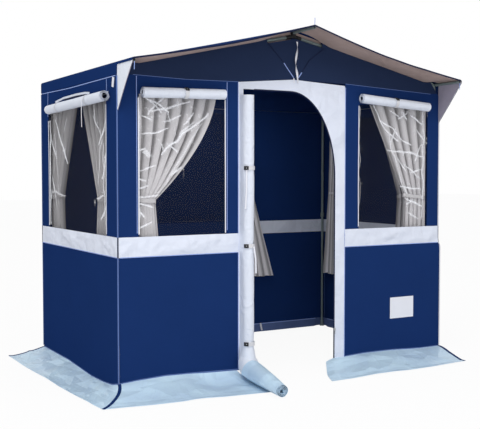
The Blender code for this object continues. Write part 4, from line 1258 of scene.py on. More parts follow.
@dataclass
class WaistBand:
    """White band sewn round the outside, from one side of the door to the other."""

    step: float = 0.016
    lift: float = TENT.fit + TENT.cloth
    crease: float = 0.007
    slant: float = 0.018
    fade: float = 0.04

    def build(self) -> None:
        """Makes the band as one strip over five wall lengths."""
        legs = [(Wall.FRONT, ticks(self.step, 0.0, TENT.surround_left - TENT.fit)[::-1]),
                (Wall.LEFT, ticks(self.step, 0.0, TENT.depth)),
                (Wall.REAR, ticks(self.step, 0.0, TENT.width)),
                (Wall.RIGHT, ticks(self.step, 0.0, TENT.depth)[::-1]),
                (Wall.FRONT, ticks(self.step, TENT.surround_right + TENT.fit, TENT.width)[::-1])]
        heights = np.linspace(TENT.band_bottom, TENT.band_top, 10)[:, None]
        parts, runs, run = [], [], 0.0
        for number, (wall, alongs) in enumerate(legs):
            along = np.broadcast_to(alongs, (len(heights), len(alongs)))
            height = np.broadcast_to(heights, along.shape)
            share = (height - TENT.band_bottom) / (TENT.band_top - TENT.band_bottom)
            ends = np.minimum(along, wall.length - along)
            mask = np.sin(math.pi * share) * smooth(ends, 0.0, self.fade)
            crease = CREASE_NOISE.creased(along * 7 + 3 * number + 4 * share, height * 9 + number)
            slant = CREASE_NOISE.creased(along * 4 - 26 * height * 0.4 + 5 * number, height * 3 + along * 1.5)
            out = self.lift + wall_relief(wall, along, height) + mask * (
                self.crease * np.clip(crease - 0.25, 0, None) + self.slant * np.clip(slant - 0.45, 0, None))
            points = wall.place(along, out, height)
            for column in (0, -1):
                if ends[0, column] < 1e-6:
                    points[:, column] = self.corner(wall, float(along[0, column]), heights[:, 0])
            here = run + np.concatenate([[0.0], np.cumsum(np.abs(np.diff(alongs)))])
            parts.append(points[:, 1:] if number else points)
            runs.append(here[1:] if number else here)
            run = here[-1]
        uv = stack(np.concatenate(runs)[None, :], heights)
        Sheet("waist_band_cloth", np.concatenate(parts, axis=1), uv, WHITE, toward=(0, -1, 0), probe=(4, 4),
              rests_on=["left_wall_cloth"], replaces=["waist_band"]).build()

    def corner(self, wall: Wall, along: float, heights: Array) -> Array:
        """The column of points on a corner of the tent.

        Args:
            wall: A wall that ends there.
            along: Its end, as a distance along.
            heights: Heights of the points.

        Returns:
            The points, which stand out of both walls.
        """
        x, y, _ = wall.place(along, 0.0, 0.0)
        if wall in (Wall.FRONT, Wall.REAR):
            x, y = x + math.copysign(self.lift, x), y + (self.lift if wall is Wall.REAR else -self.lift)
        else:
            x = x + (self.lift if wall is Wall.RIGHT else -self.lift)
            y = y + (self.lift if along > 0.1 else -self.lift)
        return stack(x, y, heights)


# Windows


@dataclass
class Windows:
    """Clear films behind the window openings, with the creases that the photograph shows."""

    lap: float = 0.012
    fine: float = 0.0045
    coarse: float = 0.020
    wander: float = 0.012
    web_reach: float = 0.045
    crease_lift: float = 0.0018
    sink: float = 0.003
    # Each crease: its start and end as along and height, its half width, all in mm, and its strength in %
    creases: dict = field(default_factory=lambda: {
        "front_left": (
            (210, 1688, 479, 1770, 7, 75), (151, 1549, 342, 1595, 6, 75), (288, 1443, 604, 1695, 7, 90),
            (237, 1725, 160, 1790, 5, 80), (237, 1725, 305, 1790, 5, 70), (237, 1725, 190, 1670, 5, 80),
            (237, 1725, 290, 1690, 5, 60), (135, 1178, 280, 1182, 6, 80), (354, 1309, 416, 1358, 8, 90),
            (140, 992, 232, 1025, 6, 90), (134, 960, 134, 1780, 4, 60), (300, 1240, 560, 1640, 5, 35),
            (145, 1140, 230, 1120, 7, 70), (150, 1350, 250, 1380, 5, 40), (136, 1452, 190, 1470, 6, 80),
            (140, 1300, 185, 1290, 6, 70), (138, 1240, 200, 1262, 5, 70), (136, 1090, 160, 1060, 7, 90),
            (300, 1640, 420, 1690, 5, 60), (420, 1560, 500, 1640, 5, 70), (200, 1760, 330, 1705, 6, 80),
            (500, 1700, 440, 1620, 5, 60), (330, 1500, 400, 1460, 5, 50), (150, 1660, 230, 1640, 6, 70),
        ),
        "front_right": (
            (1891, 1796, 2023, 1626, 6, 80), (2023, 1626, 2126, 1556, 6, 90), (2024, 1498, 2358, 1454, 8, 70),
            (2190, 1387, 2339, 1290, 6, 80), (2192, 1144, 2362, 1092, 7, 80), (2042, 1769, 2135, 1725, 6, 80),
            (2124, 1708, 2228, 1760, 5, 80), (2249, 1728, 2356, 1682, 6, 80), (2360, 1000, 2364, 1780, 6, 75),
            (2040, 1600, 2190, 1180, 5, 45), (2100, 1640, 2060, 1540, 6, 70), (1785, 960, 1785, 1780, 4, 30),
            (2210, 1180, 2180, 1240, 8, 80), (2215, 1050, 2330, 1000, 5, 70), (1960, 1700, 2080, 1640, 6, 80),
            (2080, 1640, 2160, 1560, 5, 80), (2160, 1560, 2250, 1520, 6, 90), (2120, 1440, 2200, 1340, 5, 70),
            (2230, 1330, 2345, 1360, 6, 80), (2150, 1240, 2340, 1210, 7, 90), (2200, 1100, 2260, 1140, 6, 90),
            (2290, 1420, 2350, 1540, 5, 70), (2180, 1760, 2210, 1700, 7, 90), (2300, 1640, 2352, 1580, 6, 80),
        ),
        "left": (
            (1176, 1702, 908, 1391, 10, 100), (1285, 960, 1275, 1700, 12, 100), (200, 965, 190, 1740, 10, 80),
            (230, 1000, 250, 1500, 7, 50), (402, 1736, 386, 1673, 6, 80), (1180, 1600, 1100, 1200, 7, 40),
            (300, 1600, 330, 1250, 6, 35), (250, 1180, 370, 1165, 8, 50), (960, 1180, 1250, 1200, 8, 30),
            (920, 1700, 980, 1620, 6, 40), (1260, 1560, 1130, 1420, 9, 60), (1240, 1300, 1150, 1120, 9, 50),
            (210, 1640, 330, 1500, 10, 70), (205, 1420, 270, 1300, 10, 70), (210, 1120, 300, 1040, 10, 80),
            (420, 1700, 300, 1560, 8, 50),
        ),
    })

    def marks(self, label: str, along: Array, height: Array) -> tuple[Array, Array]:
        """Brightness of a film's creases, painted as highlights, and how far they lift it.

        Args:
            label: Name of the window.
            along: Distances along the wall.
            height: Heights.

        Returns:
            The brightness from 0 to 1, and the lift in metres.
        """
        lines = [((x0 / 1000, z0 / 1000), (x1 / 1000, z1 / 1000), half / 1000, strength / 100)
                 for x0, z0, x1, z1, half, strength in self.creases.get(label, ())]
        wander = [self.wander * CREASE_NOISE(along * 12 + away, height * 12) for away in (0, 30)]
        bright = np.zeros_like(along)
        for start, end, half, strength in lines:
            away, share = line_distance(along + wander[0], height + wander[1], start, end)
            broken = 0.80 + 0.35 * FOLD_NOISE(share * 9 + start[0] * 31, np.full_like(share, end[1] * 17))
            taper = 0.6 + 0.5 * np.sin(math.pi * np.clip(share, 0.03, 0.97))
            bright = np.maximum(bright,
                                1.25 * strength * broken * np.exp(-((away / (0.56 * half * taper)) ** 2)))
        near = np.zeros_like(along)
        for start, end, _, strength in lines:
            away, _ = line_distance(along, height, start, end)
            near = np.maximum(near, strength * np.exp(-((away / self.web_reach) ** 2)))
        web = CREASE_NOISE.creased(along * 16, height * 12)
        bright = np.maximum(bright, 0.45 * near * smooth(web, 0.95, 1.30))
        return np.clip(bright, 0, 1), self.crease_lift * bright

    def build(self) -> None:
        """Makes the five films."""
        for label, window in WINDOWS.items():
            step = self.fine if label in self.creases else self.coarse
            columns = ticks(step, window.start - self.lap, window.start, window.end, window.end + self.lap)
            rows = ticks(step, TENT.band_top - self.lap, TENT.band_top, window.top, window.top + self.lap)
            along, height = np.meshgrid(columns, rows)
            bright, lift = self.marks(label, along, height)
            edge = np.minimum.reduce([along - columns[0], columns[-1] - along, height - rows[0],
                                      rows[-1] - height])
            out = -TENT.cloth - TENT.fit - smooth(edge, self.lap, 0.05) * (self.sink + lift)
            points, uv = wall_grid(window.wall, along, height, out)
            # The crease attribute carries the painted highlights into the film's material.
            Sheet(f"film_{label}", points, uv, SIDE_FILM_PAINTED_SHADE if label == "left" else FILM,
                  toward=window.wall.outward, thickness=TENT.film, attribute=bright,
                  rests_on=[f"{window.wall.value}_wall"], replaces=[f"window_film_{label}"]).build()


@dataclass
class ClosedCovers:
    """Navy covers that hang closed over the right and rear windows."""

    lap: float = 0.030
    bottom: float = 0.925
    top: float = 1.855
    step: float = 0.02
    wave: float = 0.006
    # Rise over the white band, and the heights between which it grows
    over_band: float = 0.009
    band_edge: tuple[float, float] = (0.945, 0.975)

    def build(self) -> None:
        """Makes both covers."""
        for label in ("right", "rear"):
            window = WINDOWS[label]
            columns = ticks(self.step, window.start - self.lap, window.end + self.lap)
            along, height = np.meshgrid(columns, ticks(self.step, self.bottom, self.top))
            free = (self.top - height) / (self.top - self.bottom)
            wave = 0.5 + 0.5 * np.sin(along * 9 + 2 * free)
            out = TENT.fit + TENT.cloth + self.wave * free**2 * wave + 0.001 * free
            out = out + self.over_band * (1 - smooth(height, *self.band_edge))
            points, uv = wall_grid(window.wall, along, height, out)
            Sheet(f"closed_cover_{label}", points, uv, NAVY, body=f"cover_{label}",
                  toward=window.wall.outward, held="hung", rests_on=[f"{label}_wall_cloth"],
                  replaces=[f"window_cover_{label}"]).build()


# Rolled covers and door


@dataclass
class Rolling:
    """A cloth rolled into a spiral: its outer radius, core, pitch and thickness."""

    radius: float
    core: float
    pitch: float
    cloth: float
    per_turn: int = 30

    def line(self, lead: Sequence[tuple[float, float]]) -> tuple[Array, Array]:
        """Middle of the cloth from its seam to its inner end.

        Args:
            lead: Points between the seam and the roll, as (across, up).

        Returns:
            The points as (across, up), and each one's angle back from the roll's start.
        """
        turns = (self.radius - self.core) / self.pitch
        back = np.linspace(0, 2 * math.pi * turns, round(turns * self.per_turn) + 1)
        r = self.radius - self.cloth / 2 - self.pitch * back / (2 * math.pi)
        spiral = stack(r * np.cos(math.pi - back), r * np.sin(math.pi - back))
        return np.concatenate([np.array(lead), spiral]), np.concatenate([np.full(len(lead), -1.0), back])


def sweep(lines: Array, centres: Array, across: Array, up: Array) -> Array:
    """Points of sections (across, up), one for each station of a path, at its centre and unit vectors."""
    return centres[:, None] + across[:, None] * lines[..., :1] + up[:, None] * lines[..., 1:]


@dataclass
class Seat:
    """A strap's place: body, node, centre, section axes, way along, and the roll's radius and pitch."""

    body: str
    node: str
    centre: Array
    right: Array
    up: Array
    forward: Array
    radius: float
    pitch: float

    def angle(self, step: float | Array) -> Any:
        """Angle of a step round the roll, of sixteen a turn."""
        return math.pi - step * (2 * math.pi / 16)

    def reach(self, step: float | Array) -> Any:
        """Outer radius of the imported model's roll at a step."""
        return self.radius - self.pitch * step / 16


@dataclass
class Buckles:
    """Webbing straps round a roll, each with the socket half of a side-release buckle."""

    strap_width: float = 0.025
    strap_cloth: float = 0.0016
    socket_width: float = 0.024
    socket_length: float = 0.022
    socket_thick: float = 0.007
    prong_length: float = 0.014
    slot_width: float = 0.016
    bevel: float = 0.0012
    rim: float = 0.0035

    def strap(self, name: str, seat: Seat, start: float, end: float) -> None:
        """Webbing round a roll.

        Args:
            name: Name of the piece.
            seat: Its place on the roll.
            start: First step.
            end: Last step.
        """
        steps = np.arange(start, end + 1e-6, 0.5)
        angle = seat.angle(steps)
        r = seat.reach(steps) + TENT.fit + self.strap_cloth
        ring = (seat.centre + seat.right * (r * np.cos(angle))[:, None]
                + seat.up * (r * np.sin(angle))[:, None])
        strip(name, ring, seat.forward, self.strap_width, WEBBING, body=seat.body, thickness=self.strap_cloth,
              toward=seat.right * math.cos(angle[0]) + seat.up * math.sin(angle[0]), probe=(0, 0),
              rests_on=[seat.node],
              replaces=[name.replace("webbing_", "")] if name.startswith("webbing_") else ())

    def socket(self, name: str, seat: Seat, step: float, turn: int) -> None:
        """Socket half, modelled from a block: bevelled, with a sunk panel on top, and hollowed for the plug's
        prongs.

        Args:
            name: Name of the piece.
            seat: Its place on the roll.
            step: Step at which the buckle lies.
            turn: +1 where the plug lies at a larger angle than the socket, otherwise -1.
        """
        angle = seat.angle(step + 0.5)
        face = seat.reach(step + 0.5) * math.cos(math.pi / 16)
        normal = seat.right * math.cos(angle) + seat.up * math.sin(angle)
        tangent = (seat.up * math.cos(angle) - seat.right * math.sin(angle)) * turn
        foot = seat.centre + normal * (face + TENT.fit + self.strap_cloth / 2)
        bpy.ops.object.select_all(action="DESELECT")
        size = (self.socket_length, self.socket_width, self.socket_thick)
        bpy.ops.mesh.primitive_cube_add(size=1.0, location=(-size[0] / 2, 0, size[2] / 2), scale=size)
        piece = bpy.context.active_object
        piece.name = name
        bpy.ops.object.transform_apply(location=True, rotation=True, scale=True)
        bpy.ops.object.mode_set(mode="EDIT")
        bpy.ops.mesh.select_all(action="SELECT")
        bpy.ops.mesh.bevel(offset=self.bevel, segments=2, affect="EDGES")
        bpy.ops.mesh.select_all(action="DESELECT")
        bpy.ops.object.mode_set(mode="OBJECT")
        for polygon in piece.data.polygons:
            polygon.select = polygon.normal.z > 0.99 and polygon.area > 1e-4
        bpy.ops.object.mode_set(mode="EDIT")
        bpy.ops.mesh.inset(thickness=self.rim, depth=0.0)
        bpy.ops.mesh.inset(thickness=0.0006, depth=-0.0012)
        bpy.ops.object.mode_set(mode="OBJECT")
        self.cut_slot(piece)
        axes = stack(tangent, seat.forward, normal, foot)
        basis = Matrix([*axes.tolist(), (0, 0, 0, 1)])
        piece.data.transform(basis)
        if basis.determinant() < 0:
            piece.data.flip_normals()
        piece.data.materials.append(PLASTIC.material())
        piece.data.shade_smooth()
        piece.data.set_sharp_from_angle(angle=math.radians(40))
        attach(piece, seat.body)
        log.info("made %s", name)

    def cut_slot(self, piece: Piece) -> None:
        """Hollows the mouth that takes the plug's prongs.

        Args:
            piece: The socket.
        """
        depth = self.prong_length + 2 * TENT.fit
        bpy.ops.object.select_all(action="DESELECT")
        bpy.ops.mesh.primitive_cube_add(size=1.0, location=(-depth / 2 + 0.001, 0, self.socket_thick / 2),
                                        scale=(depth + 0.002, self.slot_width,
                                               self.socket_thick - 2 * self.bevel))
        cutter = bpy.context.active_object
        bpy.ops.object.transform_apply(location=True, rotation=True, scale=True)
        step = piece.modifiers.new("mouth", "BOOLEAN")
        step.operation, step.object, step.solver = "DIFFERENCE", cutter, "EXACT"
        apply_modifiers(piece)
        bpy.data.objects.remove(cutter)


@dataclass
class RolledCovers:
    """Three window covers rolled up under their top seams."""

    rolling: Rolling = field(default_factory=lambda: Rolling(0.0335, 0.017, 0.0042, 0.0012))
    roll_out: float = 0.040
    flap: float = 0.020
    hem: float = 0.012
    core_length: float = 0.12
    core_in: float = 0.062
    step: float = 0.014
    bow: float = 0.0015
    wobble: float = 0.028
    pinch: float = 0.05
    pinch_reach: float = 0.03
    cone: float = 0.004
    flap_inset: float = 0.035
    cad_pitch: float = 0.0055
    strap_steps: tuple[int, int] = (1, 11)
    tape_steps: tuple[int, int] = (1, 14)
    # Each roll: wall, start and end along, axis height at both, share of the buckle
    rolls: dict = field(default_factory=lambda: {
        "front_left": (Wall.FRONT, 0.145, 0.699, 1.807, 1.817, 0.509),
        "front_right": (Wall.FRONT, 1.772, 2.366, 1.838, 1.800, 0.488),
        "left": (Wall.LEFT, 0.107, 1.175, 1.789, 1.771, None),
    })

    def build(self) -> None:
        """Makes the rolls with their straps."""
        seam = -self.roll_out + TENT.fit + self.rolling.cloth / 2 + 0.001
        lead = [(seam, -self.flap - self.hem), (seam, -self.flap), ((seam - 0.0325) / 2, -self.flap * 0.45)]
        line, back = self.rolling.line(lead)
        run = run_length(line)
        for number, (label, (wall, start, end, start_z, end_z, share)) in enumerate(self.rolls.items()):
            along = ticks(self.step, start, end)
            part = (along - start) / (end - start)
            centres = wall.place(along, self.roll_out, start_z + (end_z - start_z) * part)
            centres = centres - wall.outward * (self.bow * np.sin(math.pi * part))[:, None]
            count = len(along)
            out = np.broadcast_to(wall.outward, (count, 3))
            down = np.broadcast_to(DOWN, (count, 3))
            wobble = FOLD_NOISE.layered(np.cos(back)[None, :] * 1.2 + along[:, None] * 5 + 9 * number,
                                        np.sin(back)[None, :] * 1.2 + 0.15 * back[None, :])
            grow = 1 + np.where(back >= 0, self.wobble, 0.0)[None, :] * (wobble - 0.35)
            if share is not None:
                pinch = np.exp(-(((part - share) * (end - start)) / self.pinch_reach) ** 2)
                grow = grow * (1 - self.pinch * pinch[:, None] * (back >= 0)[None, :])
            cone = self.cone * (part - 0.5)[:, None] * np.maximum(back, 0)[None, :] / (2 * math.pi)
            inset = np.where(back < 0, self.flap_inset, 0.0)[None, :] * (1 - 2 * part)[:, None]
            points = sweep(line[None] * grow[..., None], centres, out, down)
            points = points + wall.onward * (cone + inset)[..., None]
            uv = stack(along[:, None], run[None, :])
            body, node = f"rolled_cover_{label}", f"window_cover_roll_{label}"
            Sheet(f"rolled_cover_cloth_{label}", points, uv, ROLLED, body=body, toward=wall.outward,
                  probe=(count // 2, len(lead) + 15), lie=Lie.CENTRED, thickness=self.rolling.cloth,
                  flat=(end - start, float(run[-1])), held="folded", rests_on=[f"{wall.value}_wall"],
                  replaces=[node]).build()
            turn = np.linspace(0, 2 * math.pi, 25)[:, None]
            for side, place, way in (("near", 0, 1.0), ("far", -1, -1.0)):
                ring = centres[place] + wall.onward * (way * self.core_in) + self.rolling.core * 0.93 * (
                    wall.outward * np.cos(turn) + np.array([0, 0, 1.0]) * np.sin(turn))
                strip(f"cover_core_{label}_{side}", ring, wall.onward, self.core_length, NAVY_TAPE, body=body,
                      toward=wall.outward, probe=(0, 0), lie=Lie.CENTRED, held="folded", rests_on=[node])
            if share is None:
                self.make_tapes(wall, lambda place: np.interp(place, (start, end), (start_z, end_z)))
                continue
            centre = wall.place(start + (end - start) * share, self.roll_out,
                                start_z + (end_z - start_z) * share)
            forward = unit(wall.place(end, 0, end_z) - wall.place(start, 0, start_z))
            seat = Seat(body, node, centre, wall.outward, DOWN, forward, self.rolling.radius, self.cad_pitch)
            Buckles().strap(f"webbing_cover_strap_{label}", seat, *self.strap_steps)
            Buckles().socket(f"cover_socket_{label}", seat, self.strap_steps[1] - 1, -1)

    def make_tapes(self, wall: Wall, height: Any) -> None:
        """Seam flap over the left roll, and the two narrow tapes that hold it, one with a long end.

        Args:
            wall: The left wall.
            height: Gives the height of the roll's axis at a distance along.
        """
        body, node = "rolled_cover_left", "window_cover_roll_left"
        flap = ((1.130, 1.822), (0.960, 1.838), (0.700, 1.842), (0.530, 1.839), (0.450, 1.832))
        lay_strip("cover_seam_flap_left", wall, flap, 0.004, 0.014, ROLLED)
        # Dark strip under the flap: painted shadow where the flap meets the wall.
        lay_strip("cover_seam_shade_left", wall, [(along, z - 0.012) for along, z in flap[1:-1]], 0.0035,
                  0.008, NAVY_TAPE)
        for label, along in (("front", 0.385), ("rear", 0.950)):
            centre = wall.place(along, self.roll_out, float(height(along)))
            seat = Seat(body, node, centre, wall.outward, DOWN, wall.onward, self.rolling.radius,
                        self.cad_pitch)
            Buckles(strap_width=0.011).strap(f"cover_tape_left_{label}", seat, *self.tape_steps)
        path = wall.place(np.linspace(0.398, 0.430, 9), 0.0755 - 0.010 * np.linspace(0, 1, 9) ** 2,
                          np.linspace(1.795, 1.615, 9))
        strip("cover_tape_end_left", path, wall.onward, 0.009, WHITE_TAPE, body=body, toward=wall.outward,
              held="hung", rests_on=[node])


@dataclass
class RolledDoor:
    """The door, rolled up against its left jamb, with its light blue skirt as a tail on the ground."""

    rolling: Rolling = field(default_factory=lambda: Rolling(0.040, 0.013, 0.0075, 0.0022))
    roll_out: float = 0.046
    along: float = 0.868
    top: float = 1.820
    knee: float = 0.140
    knee_r: float = 0.075
    knee_turn: float = math.radians(72)
    knee_end_r: float = 0.076
    tail_reach: float = 0.560
    tail_side: float = -0.070
    tail_r: float = 0.042
    # Where the white cloth ends and the blue one starts, from the end of the upright part
    tail_start: float = 0.100
    ground_gap: float = 0.0012
    step: float = 0.02
    wobble: float = 0.035
    crease: float = 0.025
    pinch: float = 0.07
    pinch_reach: float = 0.035
    cad_pitch: float = 0.0065
    straps: dict = field(default_factory=lambda: {"top": 1.359, "middle": 0.865, "bottom": 0.239})
    # Loose strap ends, as points (along, out, height)
    ends: dict = field(default_factory=lambda: {
        "top": ((0.836, 0.078, 1.345), (0.832, 0.084, 1.230), (0.828, 0.078, 1.100)),
        "middle": ((0.884, 0.089, 0.860), (0.892, 0.096, 0.780), (0.900, 0.088, 0.690)),
    })

    def stations(self) -> tuple[Array, Array]:
        """Stations down the jamb, round the knee and out on the ground.

        Returns:
            Their centres as (along, out, height), and their radii.
        """
        loose = lambda z: self.rolling.radius + 0.024 * float(smooth(self.knee + 0.10 - z, 0.0, 0.16))
        rows = [(self.along, self.roll_out, z, loose(z)) for z in ticks(self.step, self.knee, self.top)[::-1]]
        for share in np.linspace(0, 1, 13)[1:]:
            angle = self.knee_turn * share
            rows.append((self.along, self.roll_out + self.knee_r * (1 - math.cos(angle)),
                         self.knee - self.knee_r * math.sin(angle),
                         loose(0.0) + (self.knee_end_r - loose(0.0)) * share))
        last = rows[-1]
        tip = (self.along + self.tail_side, self.tail_reach, self.tail_r + 0.0030, self.tail_r)
        for share in np.linspace(0, 1, 22)[1:]:
            rows.append(tuple(a + (b - a) * share for a, b in zip(last, tip)))
        rows = np.array(rows)
        return rows[:, :3], rows[:, 3]

    def make_roll(self) -> None:
        """The white roll and its light blue tail."""
        places, radii = self.stations()
        centres = Wall.FRONT.place(places[:, 0], places[:, 1], places[:, 2])
        heading = unit(np.gradient(centres, axis=0))
        right = np.array([1.0, 0.0, 0.0])
        side = unit(right - heading * (heading @ right)[:, None])
        face = np.cross(heading, side)
        steps = run_length(centres)
        upright = places[:, 2] > self.knee - 1e-6
        flap = np.where(upright, self.roll_out - TENT.fit - 0.0012, 0.010)
        flap = flap - 0.030 * smooth(self.knee + 0.10 - places[:, 2], 0, 0.10) * upright
        line, back = self.rolling.line([(-1.0, -1.0)] * 3)
        lines = np.broadcast_to(line, (len(places), *line.shape)).copy()
        for k, share in enumerate((1.0, 0.66, 0.33)):
            lines[:, k, 0] = -self.rolling.radius + self.rolling.cloth / 2
            lines[:, k, 1] = -flap * share
        wobble = FOLD_NOISE.layered(np.cos(back)[None, :] * 1.0 + steps[:, None] * 3.2,
                                    np.sin(back)[None, :] * 1.0 + 0.12 * back[None, :] + steps[:, None] * 0.7,
                                    3)
        creases = CREASE_NOISE.creased(steps[:, None] * 5 + 0.3 * back[None, :], back[None, :] * 0.6)
        grow = 1 + (back >= 0)[None, :] * (self.wobble * (wobble - 0.5) - self.crease * creases)
        for height in self.straps.values():
            pinch = np.exp(-(((places[:, 2] - height) / self.pinch_reach) ** 2)) * upright
            grow = grow * (1 - self.pinch * pinch[:, None] * (back >= 0)[None, :])
        run = run_length(lines[0])
        scale = (radii / self.rolling.radius)[:, None, None]
        points = sweep(lines * grow[..., None] * scale, centres, side, face)
        uv = stack(run[None, :], steps[:, None])
        split = int(np.argmin(np.abs(steps - steps[np.sum(upright) - 1] - self.tail_start)))
        tail = points[split:].copy()
        tail[..., 2] = np.maximum(tail[..., 2], self.ground_gap)
        for name, part, rows, finish, replaced in (
            ("rolled_door_cloth", points[: split + 1], slice(0, split + 1), ROLLED, ["door_roll"]),
            ("rolled_door_tail", tail, slice(split, len(places)), SKIRT, []),
        ):
            Sheet(name, part, uv[rows], finish, body="rolled_door", toward=face[rows][2], probe=(2, 10),
                  lie=Lie.CENTRED, held="folded",
                  flat=(float(run[-1]), float(steps[rows][-1] - steps[rows][0])), rests_on=["door_surround"],
                  replaces=replaced).build()

    def build(self) -> None:
        """Makes the roll, the straps and the loose strap ends."""
        self.make_roll()
        for label, height in self.straps.items():
            centre = Wall.FRONT.place(self.along, self.roll_out, height)
            seat = Seat("rolled_door", "door_roll", centre, np.array([1.0, 0.0, 0.0]),
                        np.array([0.0, -1.0, 0.0]), np.array([0.0, 0.0, 1.0]), self.rolling.radius,
                        self.cad_pitch)
            Buckles().strap(f"webbing_door_strap_{label}", seat, 1, 13)
            Buckles().socket(f"door_socket_{label}", seat, 1, 1)
        for label, marks in self.ends.items():
            spread = np.linspace(0, 2, 13)
            path = Wall.FRONT.place(*(np.interp(spread, range(3), axis) for axis in zip(*marks)))
            strip(f"door_tape_end_{label}", path, (1, 0, 0), 0.011, WHITE_TAPE, body="rolled_door",
                  toward=(0, -1, 0), held="hung", rests_on=["door_roll"])


# Curtains


@dataclass
class Curtain:
    """How one curtain hangs: its window, past which edge, and its widths as shares of the window."""

    window: str
    far: bool
    past: float
    top: float
    tie: float
    bottom: float
    flare: float = 0.0
    fullness: float = 1.0
    pleats: int = 5


@dataclass
class Curtains:
    """Eight tied-back curtains, each gathered on the wire and drawn in by a tie band."""

    wire_in: float = 0.035
    top: float = 1.8431
    tie: float = 1.16
    bottom: float = 0.47
    cloth: float = 0.0012
    deepest: float = 0.0200
    fullness_of_cloth: float = 1.35
    band_width: float = 0.024
    row: float = 0.018
    hem: float = 0.006
    table: dict = field(default_factory=lambda: {
        "front_left": Curtain("front_left", False, -0.020, 0.88, 0.175, 0.27, fullness=1.75, pleats=6),
        "front_right": Curtain("front_right", True, 0.004, 0.86, 0.31, 0.34),
        "left_front": Curtain("left", False, -0.020, 0.45, 0.185, 0.25),
        "left_rear": Curtain("left", True, 0.043, 0.465, 0.175, 0.24),
        "right_front": Curtain("right", False, -0.020, 0.45, 0.185, 0.25),
        "right_rear": Curtain("right", True, 0.006, 0.30, 0.16, 0.25, 0.070),
        "rear_left": Curtain("rear", False, 0.010, 0.43, 0.12, 0.24, 0.150),
        "rear_right": Curtain("rear", True, 0.010, 0.19, 0.12, 0.27, 0.200),
    })

    def make(self, number: int, label: str, curtain: Curtain) -> None:
        """One curtain and its tie band.

        Args:
            number: Its number, which sets its folds apart from the others'.
            label: Its name's end.
            curtain: How it hangs.
        """
        window, pleats = WINDOWS[curtain.window], curtain.pleats
        span = window.end - window.start
        top, tie, bottom = curtain.top * span, curtain.tie * span, curtain.bottom * span
        edge, way = (window.end + curtain.past, -1.0) if curtain.far else (window.start - curtain.past, 1.0)
        part, height = np.meshgrid(np.linspace(0, 1, pleats * 14 + 1),
                                   ticks(self.row, self.bottom, self.tie, self.top))
        above = np.clip((height - self.tie) / (self.top - self.tie), 0, 1)
        below = np.clip((self.tie - height) / (self.tie - self.bottom), 0, 1)
        width = tie + (top - tie) * (1 - (1 - above) ** curtain.fullness) + (bottom - tie) * below
        cloth_width = max(curtain.top, curtain.bottom) * span * self.fullness_of_cloth
        period = width / pleats
        slack = np.clip(cloth_width / width - 1, 0.02, None)
        depth = np.minimum(self.deepest, period / math.pi * np.sqrt(1.15 * slack))
        uneven = FOLD_NOISE(part * pleats * 0.55 + 7 * number, above * 1.2 + 3 * number) * 0.35
        phase = 2 * math.pi * pleats * part + 2.2 * uneven + 0.6 * FOLD_NOISE(part * 3, height * 2.5 + number)
        strength = 0.72 + 0.28 * FOLD_NOISE(part * pleats * 0.9 + 11 * number, height * 1.4)
        # Broad crests towards the window with narrow valleys between them
        wave = 1.25 - 3.4 * (0.5 - 0.5 * np.cos(phase)) ** 1.7 + 0.22 * np.sin(2 * phase + 1.3 * number)
        in_out = depth * strength * wave / 1.3 - 0.3 * depth
        shift = 0.30 * period * np.sin(phase + 0.9) * smooth(slack, 0.3, 2.5)
        reach = np.clip(width * part + shift * np.sin(math.pi * part), 0, width) - curtain.flare * below
        hem = self.hem * FOLD_NOISE(part * 5 + number, np.full_like(below, 2.5))
        points = window.wall.place(edge + way * reach, -self.wire_in + in_out,
                                   height + hem * smooth(below, 0.8, 1.0))
        body = f"hung_curtain_{label}"
        flat_width = float(np.linalg.norm(np.diff(points, axis=1), axis=-1).sum(axis=1).mean())
        # The crease attribute marks the fold valleys for the cloth's painted shade.
        Sheet(f"draped_curtain_{label}", points, stack(part * cloth_width, height), CURTAIN, body=body,
              toward=window.wall.outward, thickness=self.cloth, lie=Lie.CENTRED,
              attribute=smooth(-wave, -0.3, 1.7), flat=(flat_width, self.top - self.bottom), held="gathered",
              rests_on=["curtain_wire"], replaces=[f"curtain_{label}"]).build()
        # Band of the same cloth that draws the curtain in
        turn = np.linspace(0, 2 * math.pi, 41)
        cos, sin = np.cos(turn), np.sin(turn)
        along = edge + way * (tie / 2 + (tie / 2 + 0.004) * np.sign(cos) * np.abs(cos) ** 0.6)
        out = -self.wire_in + 0.0185 * np.sign(sin) * np.abs(sin) ** 0.8
        path = window.wall.place(along, out, self.tie + 0.004 * np.sin(turn * 2) - 0.010 * cos * way)
        strip(f"tie_band_{label}", path, (0, 0, 1), self.band_width, CURTAIN, body=body, thickness=self.cloth,
              toward=window.wall.onward * way, probe=(0, 0), lie=Lie.CENTRED, held="gathered",
              rests_on=[f"curtain_{label}"])

    def build(self) -> None:
        """Makes the curtains."""
        for number, (label, curtain) in enumerate(self.table.items()):
            self.make(number, label, curtain)


# Skirt


